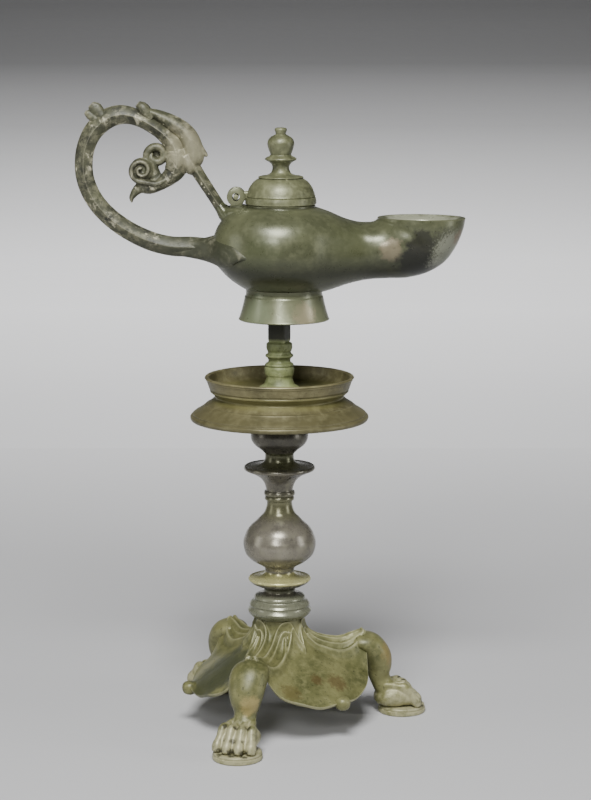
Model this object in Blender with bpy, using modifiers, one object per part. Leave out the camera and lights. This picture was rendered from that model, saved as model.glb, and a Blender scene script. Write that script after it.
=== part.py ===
"""Late Roman oil lamp of cast bronze, standing on its pricket stand.

The stand is a hollow tripod on lion's paws, a turned baluster, a drip pan and a pricket with a
square bar. The lamp is one hollow casting: bowl, nozzle, flared foot and a scrolled handle. Its
lid, with a turned finial, swings on a pin between two ears.

Metres, +Z up. The nozzle points along +X and the lamp's mirror plane is XZ. The stand's own axis
is the local Z axis, and one empty carries everything to the middle of its own footprint.
"""

import math

import bmesh
import bpy
import numpy as np
from mathutils import Matrix, Vector

MM = 0.001
GAP = 0.3 * MM  # left between pieces that touch

# Tripod base
LEG_ANGLES = (math.radians(252), math.radians(374), math.radians(485))  # cast a little unevenly
BASE_NECK_RADIUS = 14.0 * MM
BASE_HEIGHT = 66.0 * MM
BASE_WALL = 3.0 * MM
SADDLE_REACH = 36.0 * MM
SADDLE_HEIGHT = 48.6 * MM
HORN_REACH = 53.0 * MM
HORN_HEIGHT = 53.4 * MM
APRON_REACH = 55.0 * MM
APRON_HEIGHT = 22.5 * MM
RIDGE_SPREAD = math.radians(17)
MOULDING_RADIUS = 1.0 * MM
HAUNCH_HALF_WIDTH = 12.4 * MM
HAUNCH_HALF_DEPTH = 9.4 * MM
ANKLE_HALF_WIDTH = 5.0 * MM
ANKLE_HEIGHT = 21.5 * MM
PAW_REACH = 78.0 * MM
PAW_DISC_RADIUS = 14.7 * MM
PAW_DISC_HEIGHT = 4.6 * MM
TOE_COUNT = 4
TOE_RADIUS = 3.5 * MM
TOE_SPREAD = 6.1 * MM
KNOB_RADIUS = 3.8 * MM

# Baluster shaft, from its foot up
COLLAR_RADIUS = 19.2 * MM
COLLAR_HEIGHT = 13.2 * MM
LOWER_NECK_RADIUS = 9.6 * MM
LOWER_NECK_HEIGHT = 4.2 * MM
LOWER_FLANGE_RADIUS = 18.9 * MM
LOWER_FLANGE_HEIGHT = 10.6 * MM
PEAR_FOOT_RADIUS = 9.1 * MM
PEAR_RADIUS = 21.9 * MM
PEAR_LOW_HEIGHT = 16.6 * MM
PEAR_HIGH_HEIGHT = 24.6 * MM
MIDDLE_NECK_RADIUS = 7.6 * MM
MIDDLE_NECK_HEIGHT = 2.6 * MM
RING_RADIUS = 9.4 * MM
RING_HEIGHT = 5.2 * MM
UPPER_FLANGE_RADIUS = 21.4 * MM
UPPER_FLANGE_STEM_RADIUS = 8.2 * MM
UPPER_FLANGE_RISE = 16.4 * MM
UPPER_FLANGE_DROP = 5.6 * MM
UPPER_NECK_RADIUS = 8.8 * MM
UPPER_NECK_HEIGHT = 5.4 * MM
BULB_RADIUS = 17.3 * MM
BULB_LOW_HEIGHT = 9.8 * MM
BULB_HIGH_HEIGHT = 9.0 * MM
PAN_STEM_RADIUS = 11.0 * MM
PAN_STEM_HEIGHT = 15.9 * MM

# Drip pan
PAN_RIM_RADIUS = 44.8 * MM
PAN_WALL = 2.6 * MM
PAN_FLOOR = 3.1 * MM
PAN_DEPTH = 8.8 * MM
PAN_WAIST_RADIUS = 38.4 * MM
SKIRT_RADIUS = 53.5 * MM
SKIRT_DROP = 14.4 * MM
SKIRT_EDGE = 2.2 * MM

# Pricket
PRICKET_FOOT_RADIUS = 12.4 * MM
PRICKET_FOOT_HEIGHT = 8.4 * MM
PRICKET_WAIST_RADIUS = 6.7 * MM
PRICKET_BULB_RADIUS = 8.8 * MM
PRICKET_BULB_HEIGHT = 9.6 * MM
PRICKET_RING_RADIUS = 8.4 * MM
PRICKET_RING_HEIGHT = 4.4 * MM
PRICKET_KNOB_RADIUS = 7.8 * MM
PRICKET_KNOB_HEIGHT = 6.6 * MM
BAR_SIDE = 10.8 * MM
BAR_TURN = math.radians(-22)
BAR_HEIGHT = 26.9 * MM
SPIKE_SIDE = 8.0 * MM
SPIKE_TIP_SIDE = 4.0 * MM
SPIKE_HEIGHT = 17.0 * MM
SOCKET_CLEARANCE = 0.5 * MM
SOCKET_WALL = 2.5 * MM

# Lamp: heights count from the shoulder of the bar, which carries the bowl's floor
LAMP_WALL = 2.6 * MM
BOWL_RADIUS = 39.3 * MM
BOWL_HEIGHT = 55.3 * MM
BOWL_WIDTH = 78.0 * MM
NOZZLE_REACH = 110.4 * MM
NOZZLE_WAIST_WIDTH = 39.6 * MM
MOUTH_START = 58.2 * MM
MOUTH_WIDTH = 46.0 * MM
MOUTH_HEIGHT = 47.4 * MM
WICK_HOLE_LENGTH = 32.6 * MM
WICK_HOLE_WIDTH = 27.0 * MM
FOOT_X = 2.8 * MM
FOOT_RADIUS = 27.1 * MM
FOOT_TOP_RADIUS = 23.2 * MM
FOOT_HEIGHT = 13.6 * MM
FOOT_WALL = 2.6 * MM
LID_X = 1.0 * MM
SEAT_RADIUS = 20.6 * MM
SEAT_HEIGHT = 54.9 * MM
FILL_HOLE_RADIUS = 16.0 * MM

# Handle, measured in the lamp's mirror plane
LOOP_CENTRE = (-92.0 * MM, 75.0 * MM)
BAR_HALF_WIDTH = 5.2 * MM
BAR_HALF_DEPTH = 4.2 * MM
SCROLL_HALF_DEPTH = 3.4 * MM
VOLUTE_RADIUS = 6.4 * MM
VOLUTE_WIRE_RADIUS = 2.1 * MM
VOLUTE_OFFSET = 2.4 * MM

# Lid and hinge
LID_RADIUS = 21.1 * MM
LID_BAND_HEIGHT = 8.3 * MM
LID_WALL = 3.2 * MM
DOME_RADIUS = 19.2 * MM
DOME_HEIGHT = 9.2 * MM
FINIAL_NECK_RADIUS = 5.3 * MM
FINIAL_DISC_RADIUS = 9.4 * MM
FINIAL_BULB_RADIUS = 8.0 * MM
FINIAL_BUTTON_RADIUS = 3.6 * MM
PIN_RADIUS = 1.5 * MM
HINGE_X = -25.4 * MM
HINGE_RISE = 4.7 * MM
HINGE_HEIGHT = SEAT_HEIGHT + HINGE_RISE
EAR_RADIUS = 4.9 * MM
EAR_THICKNESS = 3.0 * MM
EAR_ROOT = 0.865
TONGUE_WIDTH = 6.0 * MM
TONGUE_RADIUS = 4.3 * MM
PIN_OVERHANG = 0.6 * MM

TURNED_STEPS = 16


def clear_scene():
    for obj in list(bpy.data.objects):
        bpy.data.objects.remove(obj, do_unlink=True)


def new_collection(name, shown=True):
    made = bpy.data.collections.new(name)
    bpy.context.scene.collection.children.link(made)
    made.hide_render = not shown
    return made


clear_scene()
PARTS = new_collection("oil lamp on pricket stand")
HELPERS = new_collection("helper shapes", shown=False)


def bronze(name, colour, roughness, metallic):
    """A patinated bronze: base colour, roughness and how much bare metal still shows."""
    made = bpy.data.materials.new(name)
    made.use_nodes = True
    shader = made.node_tree.nodes["Principled BSDF"]
    shader.inputs["Base Color"].default_value = (*colour, 1.0)
    shader.inputs["Roughness"].default_value = roughness
    shader.inputs["Metallic"].default_value = metallic
    return made


def add_object(name, mesh, part=False):
    obj = bpy.data.objects.new(name, mesh)
    (PARTS if part else HELPERS).objects.link(obj)
    if not part:
        obj.hide_render = True
        obj.display_type = "WIRE"
    return obj


def from_bmesh(name, shape, part=False):
    mesh = bpy.data.meshes.new(name)
    shape.to_mesh(mesh)
    shape.free()
    return add_object(name, mesh, part)


def finish(obj, material, parent):
    """Gives a part its material, its parent and smooth faces with sharp edges kept."""
    obj.data.materials.append(material)
    obj.parent = parent
    obj.data.shade_smooth()
    obj.data.set_sharp_from_angle(angle=math.radians(35))
    return obj


def turned(name, profile, steps=TURNED_STEPS, part=False):
    """A (radius, height) profile, running down its outer side, spun about local Z."""
    mesh = bpy.data.meshes.new(name)
    points = [(radius, 0.0, height) for radius, height in profile]
    edges = [(i, i + 1) for i in range(len(points) - 1)]
    mesh.from_pydata(points, edges, [])
    obj = add_object(name, mesh, part)
    screw = obj.modifiers.new("Turn", "SCREW")
    screw.steps = steps
    screw.render_steps = steps
    screw.use_merge_vertices = True
    screw.merge_threshold = 0.00001
    screw.use_smooth_shade = True
    return obj


def quarter(start, end, steps, level_first):
    """A quarter ellipse between two (radius, height) points, without its start."""
    angles = np.linspace(0.0, math.pi / 2, steps + 1)[1:]
    fast, slow = np.sin(angles), 1 - np.cos(angles)
    across, along = (fast, slow) if level_first else (slow, fast)
    return [
        (start[0] + (end[0] - start[0]) * a, start[1] + (end[1] - start[1]) * b)
        for a, b in zip(across, along)
    ]


def lofted(name, rings, part=False):
    """A closed skin over rings of equal point counts, with a flat cap on each end."""
    shape = bmesh.new()
    loops = [[shape.verts.new(point) for point in ring] for ring in rings]
    for low, high in zip(loops, loops[1:]):
        for i in range(len(low)):
            j = (i + 1) % len(low)
            shape.faces.new((low[i], low[j], high[j], high[i]))
    shape.faces.new(loops[0][::-1])
    shape.faces.new(loops[-1])
    bmesh.ops.recalc_face_normals(shape, faces=shape.faces)
    return from_bmesh(name, shape, part)


def smooth_curve(points, count):
    """Rows of numbers carried smoothly through given rows by Catmull-Rom curves, evenly spaced."""
    rows = np.array(points, float)
    ends = np.vstack([2 * rows[0] - rows[1], rows, 2 * rows[-1] - rows[-2]])
    place = np.linspace(0, len(rows) - 1, count)
    first = np.minimum(place.astype(int), len(rows) - 2)
    t = (place - first)[:, None]
    a, b, c, d = (ends[first + k] for k in range(4))
    return 0.5 * (2 * b + (c - a) * t + (2 * a - 5 * b + 4 * c - d) * t**2 + (3 * b - a - 3 * c + d) * t**3)


def swept(name, path, halves, sides, plane_x=(1, 0, 0), plane_z=(0, 0, 1), offset=0.0, count=None):
    """A bar along a path drawn in the plane of two unit vectors, with its (in plane, across) halves."""
    rows = np.hstack([np.array(path, float), np.array(halves, float)])
    rows = smooth_curve(rows, count or len(rows))
    along_x, along_z = Vector(plane_x), Vector(plane_z)
    across = along_z.cross(along_x)
    tangents = np.gradient(rows[:, :2], axis=0)
    rings = []
    for (x, z, half_in, half_across), (dx, dz) in zip(rows, tangents):
        middle = along_x * x + along_z * z + across * offset
        normal = (along_z * dx - along_x * dz).normalized()
        turns = [2 * math.pi * k / sides for k in range(sides)]
        rings.append([
            middle + normal * half_in * math.cos(a) + across * half_across * math.sin(a) for a in turns
        ])
    return lofted(name, rings)


def ball(name, centre, radii, segments, rings, turn=0.0):
    """A stretched ball: a sphere primitive scaled to its three radii and turned about Z."""
    shape = bmesh.new()
    bmesh.ops.create_uvsphere(shape, u_segments=segments, v_segments=rings, radius=1.0)
    place = Matrix.Translation(centre) @ Matrix.Rotation(turn, 4, "Z") @ Matrix.Diagonal((*radii, 1.0))
    shape.transform(place)
    return from_bmesh(name, shape)


def cone(name, low, high, low_radius, high_radius, segments, turn=0.0, squash=1.0):
    """A cone or cylinder primitive between two heights, centred on the point low."""
    shape = bmesh.new()
    height = high - low[2]
    bmesh.ops.create_cone(
        shape, cap_ends=True, segments=segments, radius1=low_radius, radius2=high_radius, depth=height
    )
    place = Matrix.Translation((low[0], low[1], low[2] + height / 2))
    place = place @ Matrix.Rotation(turn, 4, "Z") @ Matrix.Diagonal((1.0, squash, 1.0, 1.0))
    shape.transform(place)
    return from_bmesh(name, shape)


def cross_pin(name, centre, radius, width, segments):
    """A cylinder primitive lying along Y."""
    shape = bmesh.new()
    bmesh.ops.create_cone(
        shape, cap_ends=True, segments=segments, radius1=radius, radius2=radius, depth=width
    )
    shape.transform(Matrix.Translation(centre) @ Matrix.Rotation(math.pi / 2, 4, "X"))
    return from_bmesh(name, shape)


def block(name, low, high):
    """A box primitive between two corners."""
    shape = bmesh.new()
    bmesh.ops.create_cube(shape, size=1.0)
    low, high = Vector(low), Vector(high)
    shape.transform(Matrix.Translation((low + high) / 2) @ Matrix.Diagonal((*(high - low), 1.0)))
    return from_bmesh(name, shape)


def combine(obj, operation, others):
    """One Boolean of a part with several shapes, which it carries in a collection of their own."""
    group = bpy.data.collections.new(f"{obj.name} {operation.lower()} {len(obj.modifiers)}")
    HELPERS.children.link(group)
    for other in others:
        other.parent = obj
        group.objects.link(other)
        HELPERS.objects.unlink(other)
    step = obj.modifiers.new(operation.title(), "BOOLEAN")
    step.operation = operation
    step.solver = "EXACT"
    step.operand_type = "COLLECTION"
    step.collection = group
    return obj


def polar(reach, angle, height):
    return Vector((reach * math.cos(angle), reach * math.sin(angle), height))


# Tripod base

HALF_PANEL = math.pi / len(LEG_ANGLES)


def ridge_line(count):
    """(reach, height) down the crest of a leg: neck, saddle and horn."""
    return smooth_curve([
        (BASE_NECK_RADIUS, BASE_HEIGHT),
        (BASE_NECK_RADIUS * 1.12, SADDLE_HEIGHT + 0.5 * (BASE_HEIGHT - SADDLE_HEIGHT)),
        (0.42 * BASE_NECK_RADIUS + 0.47 * SADDLE_REACH,
         SADDLE_HEIGHT + 0.17 * (BASE_HEIGHT - SADDLE_HEIGHT)),
        (SADDLE_REACH, SADDLE_HEIGHT),
        (0.45 * SADDLE_REACH + 0.55 * HORN_REACH, 0.4 * SADDLE_HEIGHT + 0.6 * HORN_HEIGHT),
        (HORN_REACH, HORN_HEIGHT),
    ], count)


def apron_line(count):
    """(reach, height) down the middle of a panel, from the neck to the lobed lower edge."""
    drop = BASE_HEIGHT - APRON_HEIGHT
    spread = APRON_REACH - BASE_NECK_RADIUS
    return smooth_curve([
        (BASE_NECK_RADIUS, BASE_HEIGHT),
        (BASE_NECK_RADIUS + 0.06 * spread, BASE_HEIGHT - 0.22 * drop),
        (BASE_NECK_RADIUS + 0.25 * spread, BASE_HEIGHT - 0.47 * drop),
        (BASE_NECK_RADIUS + 0.52 * spread, BASE_HEIGHT - 0.66 * drop),
        (BASE_NECK_RADIUS + 0.80 * spread, BASE_HEIGHT - 0.85 * drop),
        (APRON_REACH, APRON_HEIGHT),
    ], count)


def panel_middle(leg, side):
    """The angle halfway from a leg to its neighbour on one side (1 is anticlockwise)."""
    other = (leg + side) % len(LEG_ANGLES)
    gap = (side * (LEG_ANGLES[other] - LEG_ANGLES[leg])) % (2 * math.pi)
    return LEG_ANGLES[leg] + side * gap / 2


def base_point(share, aside, leg, ridge, apron, rise=0.0):
    """A point of the base's outer skin.

    share runs from 0 at the neck to 1 at the edge. aside runs from 0 on the leg's crest to 1 or -1
    in the middle of the panel beside it.
    """
    place = share * (len(ridge) - 1)
    low = min(int(place), len(ridge) - 2)
    part = place - low
    crest = ridge[low] * (1 - part) + ridge[low + 1] * part
    middle = apron[low] * (1 - part) + apron[low + 1] * part
    spread = RIDGE_SPREAD * (1.35 - 0.55 * share)

    def bell(angle):
        return 1 / (1 + abs(angle / spread) ** 2.2)

    end = bell(HALF_PANEL)
    weight = (bell(aside * HALF_PANEL) - end) / (1 - end)
    reach, height = middle + (crest - middle) * weight
    side = -1 if aside < 0 else 1
    angle = LEG_ANGLES[leg] + abs(aside) * (panel_middle(leg, side) - LEG_ANGLES[leg])
    return polar(reach + rise * 0.4, angle, height + rise)


def base_shell():
    """The hollow tripod: a cap over the neck and a skin of eight columns for each leg."""
    rows = 9
    ridge, apron = ridge_line(rows), apron_line(rows)
    shares = [0.0, 0.13, 0.28, 0.45, 0.63, 0.82, 1.0]
    steps = [-0.58, -0.26, -0.10, 0.0, 0.10, 0.26, 0.58, 1.0]
    columns = [(leg, aside) for leg in range(len(LEG_ANGLES)) for aside in steps]
    shape = bmesh.new()
    top = shape.verts.new((0, 0, BASE_HEIGHT))
    rings = [
        [shape.verts.new(base_point(share, aside, leg, ridge, apron)) for leg, aside in columns]
        for share in shares
    ]
    for i in range(len(columns)):
        j = (i + 1) % len(columns)
        shape.faces.new((top, rings[0][i], rings[0][j]))
        for upper, lower in zip(rings, rings[1:]):
            shape.faces.new((upper[i], lower[i], lower[j], upper[j]))
    shell = from_bmesh("tripod_base", shape, part=True)
    wall = shell.modifiers.new("Wall", "SOLIDIFY")
    wall.thickness = BASE_WALL
    wall.offset = -1.0
    return shell


def leg_shape(angle):
    """Haunch, shin and ankle: one lofted form in the leg's own upright plane."""
    out = (math.cos(angle), math.sin(angle), 0)
    shin = PAW_REACH - 14.5 * MM
    path = [
        (HORN_REACH - 5.5 * MM, HORN_HEIGHT - 9 * MM),
        (HORN_REACH + 4.5 * MM, HORN_HEIGHT - 9.6 * MM),
        (shin - 1.2 * MM, HORN_HEIGHT - 15 * MM),
        (shin - 0.8 * MM, 0.55 * ANKLE_HEIGHT + 0.45 * (HORN_HEIGHT - 9 * MM)),
        (shin + 0.2 * MM, ANKLE_HEIGHT + 4.6 * MM),
        (shin + 2.2 * MM, ANKLE_HEIGHT),
        (shin + 5.4 * MM, ANKLE_HEIGHT - 5.5 * MM),
        (PAW_REACH - 4.5 * MM, PAW_DISC_HEIGHT + 5.2 * MM),
    ]
    halves = [
        (0.62 * HAUNCH_HALF_DEPTH, 0.60 * HAUNCH_HALF_WIDTH),
        (0.90 * HAUNCH_HALF_DEPTH, 0.90 * HAUNCH_HALF_WIDTH),
        (HAUNCH_HALF_DEPTH, HAUNCH_HALF_WIDTH),
        (0.88 * HAUNCH_HALF_DEPTH, 0.87 * HAUNCH_HALF_WIDTH),
        (0.66 * HAUNCH_HALF_DEPTH, 1.40 * ANKLE_HALF_WIDTH),
        (ANKLE_HALF_WIDTH, ANKLE_HALF_WIDTH),
        (1.15 * ANKLE_HALF_WIDTH, 1.35 * ANKLE_HALF_WIDTH),
        (1.30 * ANKLE_HALF_WIDTH, 1.90 * ANKLE_HALF_WIDTH),
    ]
    return swept("leg", path, halves, sides=8, plane_x=out)


def paw_shapes(angle):
    """A lion's paw on a round disc: a low ball for its back and a fan of knuckled toes."""
    made = [
        cone("paw disc", polar(PAW_REACH, angle, 0.0), PAW_DISC_HEIGHT, PAW_DISC_RADIUS,
             PAW_DISC_RADIUS, 16),
        ball("paw back", polar(PAW_REACH - 1.0 * MM, angle, PAW_DISC_HEIGHT + 3.5 * MM),
             (10.8 * MM, 11.2 * MM, PAW_DISC_HEIGHT + 3.2 * MM), 8, 5, angle),
    ]
    for k in range(TOE_COUNT):
        side = k - (TOE_COUNT - 1) / 2
        fan = angle + side * 0.17
        reach = 1.0 - 0.05 * side * side
        path = [
            (1.0 * MM, PAW_DISC_HEIGHT + 12.0 * MM),
            (8.5 * MM * reach, PAW_DISC_HEIGHT + 12.8 * MM),
            (15.2 * MM * reach, PAW_DISC_HEIGHT + 8.8 * MM),
            (17.6 * MM * reach, PAW_DISC_HEIGHT + 0.8 * MM),
        ]
        halves = [
            (0.8 * TOE_RADIUS, 0.8 * TOE_RADIUS),
            (TOE_RADIUS, TOE_RADIUS),
            (TOE_RADIUS, TOE_RADIUS),
            (0.8 * TOE_RADIUS, 0.9 * TOE_RADIUS),
        ]
        fan_out = (math.cos(fan), math.sin(fan), 0)
        toe = swept("toe", path, halves, sides=5, plane_x=fan_out)
        start = polar(PAW_REACH - 7.0 * MM, angle, 0.0)
        start += polar(0.75 * TOE_SPREAD * side, angle + math.pi / 2, 0.0)
        toe.data.transform(Matrix.Translation(start))
        made.append(toe)
    return made


def moulding(leg, side, line, ridge, apron):
    """A raised line of the leaf work: a thin bar that follows the base's skin."""
    route = smooth_curve(line, 4)
    rings = []
    points = [base_point(share, side * aside, leg, ridge, apron, 0.1 * MM) for share, aside in route]
    for k, point in enumerate(points):
        ahead, behind = points[min(k + 1, len(points) - 1)], points[max(k - 1, 0)]
        tangent = (ahead - behind).normalized()
        level = tangent.cross(Vector((0, 0, 1))).normalized()
        upright = level.cross(tangent)
        taper = 0.35 if k in (0, len(points) - 1) else 1.0
        size = MOULDING_RADIUS * taper
        rings.append([point + level * size, point + upright * size, point - level * size])
    return lofted("moulding", rings)


def make_base(parent):
    shell = base_shell()
    ridge, apron = ridge_line(9), apron_line(9)
    crest = [(0.20, 0.16), (0.38, 0.15), (0.60, 0.13), (0.80, 0.10), (0.985, 0.05)]
    leaf = [(0.10, 0.62), (0.22, 0.42), (0.36, 0.36), (0.55, 0.30), (0.72, 0.20)]
    joined = []
    for leg, angle in enumerate(LEG_ANGLES):
        joined.append(leg_shape(angle))
        joined += paw_shapes(angle)
        for side in (-1, 1):
            joined.append(moulding(leg, side, crest, ridge, apron))
            joined.append(moulding(leg, side, leaf, ridge, apron))
        middle = panel_middle(leg, 1)
        place = polar(APRON_REACH, middle, APRON_HEIGHT)
        joined.append(ball("knob", place, (KNOB_RADIUS,) * 3, 8, 5, middle))
    combine(shell, "UNION", joined)
    return finish(shell, bronze("green cast bronze", (0.17, 0.18, 0.11), 0.5, 0.35), parent)


# Baluster shaft

def make_shaft(parent):
    """The turned shaft. Its profile is built from its foot up, then run from the top down."""
    z = 0.0
    rise = [(0.0, z), (0.84 * COLLAR_RADIUS, z)]
    rise += [(COLLAR_RADIUS, z + 0.33 * COLLAR_HEIGHT), (0.92 * COLLAR_RADIUS, z + 0.47 * COLLAR_HEIGHT)]
    rise += [(0.95 * COLLAR_RADIUS, z + 0.56 * COLLAR_HEIGHT), (0.73 * COLLAR_RADIUS, z + COLLAR_HEIGHT)]
    z += COLLAR_HEIGHT
    rise += [(LOWER_NECK_RADIUS, z + 0.2 * LOWER_NECK_HEIGHT), (LOWER_NECK_RADIUS, z + LOWER_NECK_HEIGHT)]
    z += LOWER_NECK_HEIGHT
    rise += quarter(rise[-1], (LOWER_FLANGE_RADIUS, z + 0.5 * LOWER_FLANGE_HEIGHT), 2, True)
    z += LOWER_FLANGE_HEIGHT
    rise += quarter(rise[-1], (PEAR_FOOT_RADIUS, z), 2, False)
    z += 1.8 * MM
    rise.append((PEAR_FOOT_RADIUS, z))
    rise += quarter(rise[-1], (PEAR_RADIUS, z + PEAR_LOW_HEIGHT), 3, True)
    z += PEAR_LOW_HEIGHT
    waist = (0.5 * (PEAR_RADIUS + MIDDLE_NECK_RADIUS), z + 0.55 * PEAR_HIGH_HEIGHT)
    rise += quarter(rise[-1], waist, 3, False)
    z += PEAR_HIGH_HEIGHT
    rise += quarter(rise[-1], (MIDDLE_NECK_RADIUS, z), 2, True)
    z += MIDDLE_NECK_HEIGHT
    rise += [(MIDDLE_NECK_RADIUS, z), (RING_RADIUS, z + 0.3 * RING_HEIGHT)]
    rise.append((RING_RADIUS, z + 0.85 * RING_HEIGHT))
    z += RING_HEIGHT
    rise.append((UPPER_FLANGE_STEM_RADIUS, z))
    rise += quarter(rise[-1], (0.94 * UPPER_FLANGE_RADIUS, z + 0.72 * UPPER_FLANGE_RISE), 3, False)
    z += UPPER_FLANGE_RISE - UPPER_FLANGE_DROP
    rise.append((UPPER_FLANGE_RADIUS, z + 0.35 * UPPER_FLANGE_DROP))
    z += UPPER_FLANGE_DROP
    rise += quarter(rise[-1], (UPPER_NECK_RADIUS, z + 0.2 * UPPER_NECK_HEIGHT), 2, False)
    z += UPPER_NECK_HEIGHT
    rise.append((UPPER_NECK_RADIUS, z))
    rise += quarter(rise[-1], (BULB_RADIUS, z + BULB_LOW_HEIGHT), 3, True)
    z += BULB_LOW_HEIGHT
    rise += quarter(rise[-1], (PAN_STEM_RADIUS, z + BULB_HIGH_HEIGHT), 2, False)
    z += BULB_HIGH_HEIGHT + PAN_STEM_HEIGHT
    rise += [(PAN_STEM_RADIUS, z), (0.0, z)]
    shaft = turned("baluster_shaft", rise[::-1], part=True)
    finish(shaft, bronze("brown cast bronze", (0.12, 0.115, 0.085), 0.38, 0.5), parent)
    return shaft, z


# Drip pan

def make_pan(parent):
    """A shallow dish over a flared skirt that is hollow below. Local Z starts at its underside."""
    rim = PAN_FLOOR + PAN_DEPTH
    inside = PAN_RIM_RADIUS - PAN_WALL
    profile = [(0.0, PAN_FLOOR), (0.86 * inside, PAN_FLOOR)]
    profile += quarter(profile[-1], (inside, rim - 0.4 * MM), 3, True)
    profile += [(PAN_RIM_RADIUS - 0.8 * MM, rim), (PAN_RIM_RADIUS, rim - 1.2 * MM)]
    profile.append((PAN_RIM_RADIUS - 1.7 * MM, rim - 2.6 * MM))
    profile += quarter(profile[-1], (PAN_WAIST_RADIUS, -0.4 * MM), 3, False)
    step = (PAN_WAIST_RADIUS + 0.38 * (SKIRT_RADIUS - PAN_WAIST_RADIUS), -0.38 * SKIRT_DROP)
    profile += [(PAN_WAIST_RADIUS + 0.14 * (SKIRT_RADIUS - PAN_WAIST_RADIUS), -1.6 * MM), step]
    profile += quarter(step, (SKIRT_RADIUS, SKIRT_EDGE - SKIRT_DROP), 3, True)
    profile += [(SKIRT_RADIUS - 0.2 * MM, 0.4 * MM - SKIRT_DROP), (SKIRT_RADIUS - 1.4 * MM, -SKIRT_DROP)]
    profile.append((SKIRT_RADIUS - 3.4 * MM, 0.8 * MM - SKIRT_DROP))
    profile += quarter(profile[-1], (PAN_WAIST_RADIUS - PAN_WALL, 0.0), 3, False)
    profile.append((0.0, 0.0))
    pan = turned("drip_pan", profile, 24, part=True)
    return finish(pan, bronze("olive cast bronze", (0.15, 0.14, 0.09), 0.45, 0.4), parent)


# Pricket

def make_pricket(parent):
    """A turned foot, a square bar with a shoulder that carries the lamp, and a square spike."""
    z = 0.0
    rise = [(0.0, z), (PRICKET_FOOT_RADIUS, z), (PRICKET_FOOT_RADIUS, z + 1.8 * MM)]
    rise += quarter(rise[-1], (PRICKET_WAIST_RADIUS + 1.3 * MM, z + PRICKET_FOOT_HEIGHT), 3, True)
    z += PRICKET_FOOT_HEIGHT
    rise += quarter(rise[-1], (PRICKET_BULB_RADIUS, z + 0.5 * PRICKET_BULB_HEIGHT), 2, True)
    z += PRICKET_BULB_HEIGHT
    rise += quarter(rise[-1], (PRICKET_WAIST_RADIUS, z), 2, False)
    rise.append((PRICKET_RING_RADIUS, z + 0.35 * PRICKET_RING_HEIGHT))
    rise.append((PRICKET_RING_RADIUS, z + 0.85 * PRICKET_RING_HEIGHT))
    z += PRICKET_RING_HEIGHT
    rise += [(0.92 * PRICKET_KNOB_RADIUS, z), (PRICKET_KNOB_RADIUS, z + 0.25 * PRICKET_KNOB_HEIGHT)]
    rise.append((PRICKET_KNOB_RADIUS, z + 0.8 * PRICKET_KNOB_HEIGHT))
    z += PRICKET_KNOB_HEIGHT
    rise += [(0.84 * PRICKET_KNOB_RADIUS, z), (0.0, z)]
    pricket = turned("pricket", rise[::-1], 16, part=True)
    low = z - 0.2 * PRICKET_KNOB_HEIGHT
    shoulder = z + BAR_HEIGHT
    corner = math.pi / 4 + BAR_TURN
    half = BAR_SIDE / math.sqrt(2)
    bar = cone("square bar", (0, 0, low), shoulder, half, half, 4, corner)
    spike = cone("square spike", (0, 0, shoulder - 1 * MM), shoulder + SPIKE_HEIGHT,
                 SPIKE_SIDE / math.sqrt(2), SPIKE_TIP_SIDE / math.sqrt(2), 4, corner)
    combine(pricket, "UNION", [bar, spike])
    finish(pricket, bronze("pale green cast bronze", (0.25, 0.28, 0.18), 0.6, 0.2), parent)
    return pricket, shoulder


# Lamp

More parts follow.
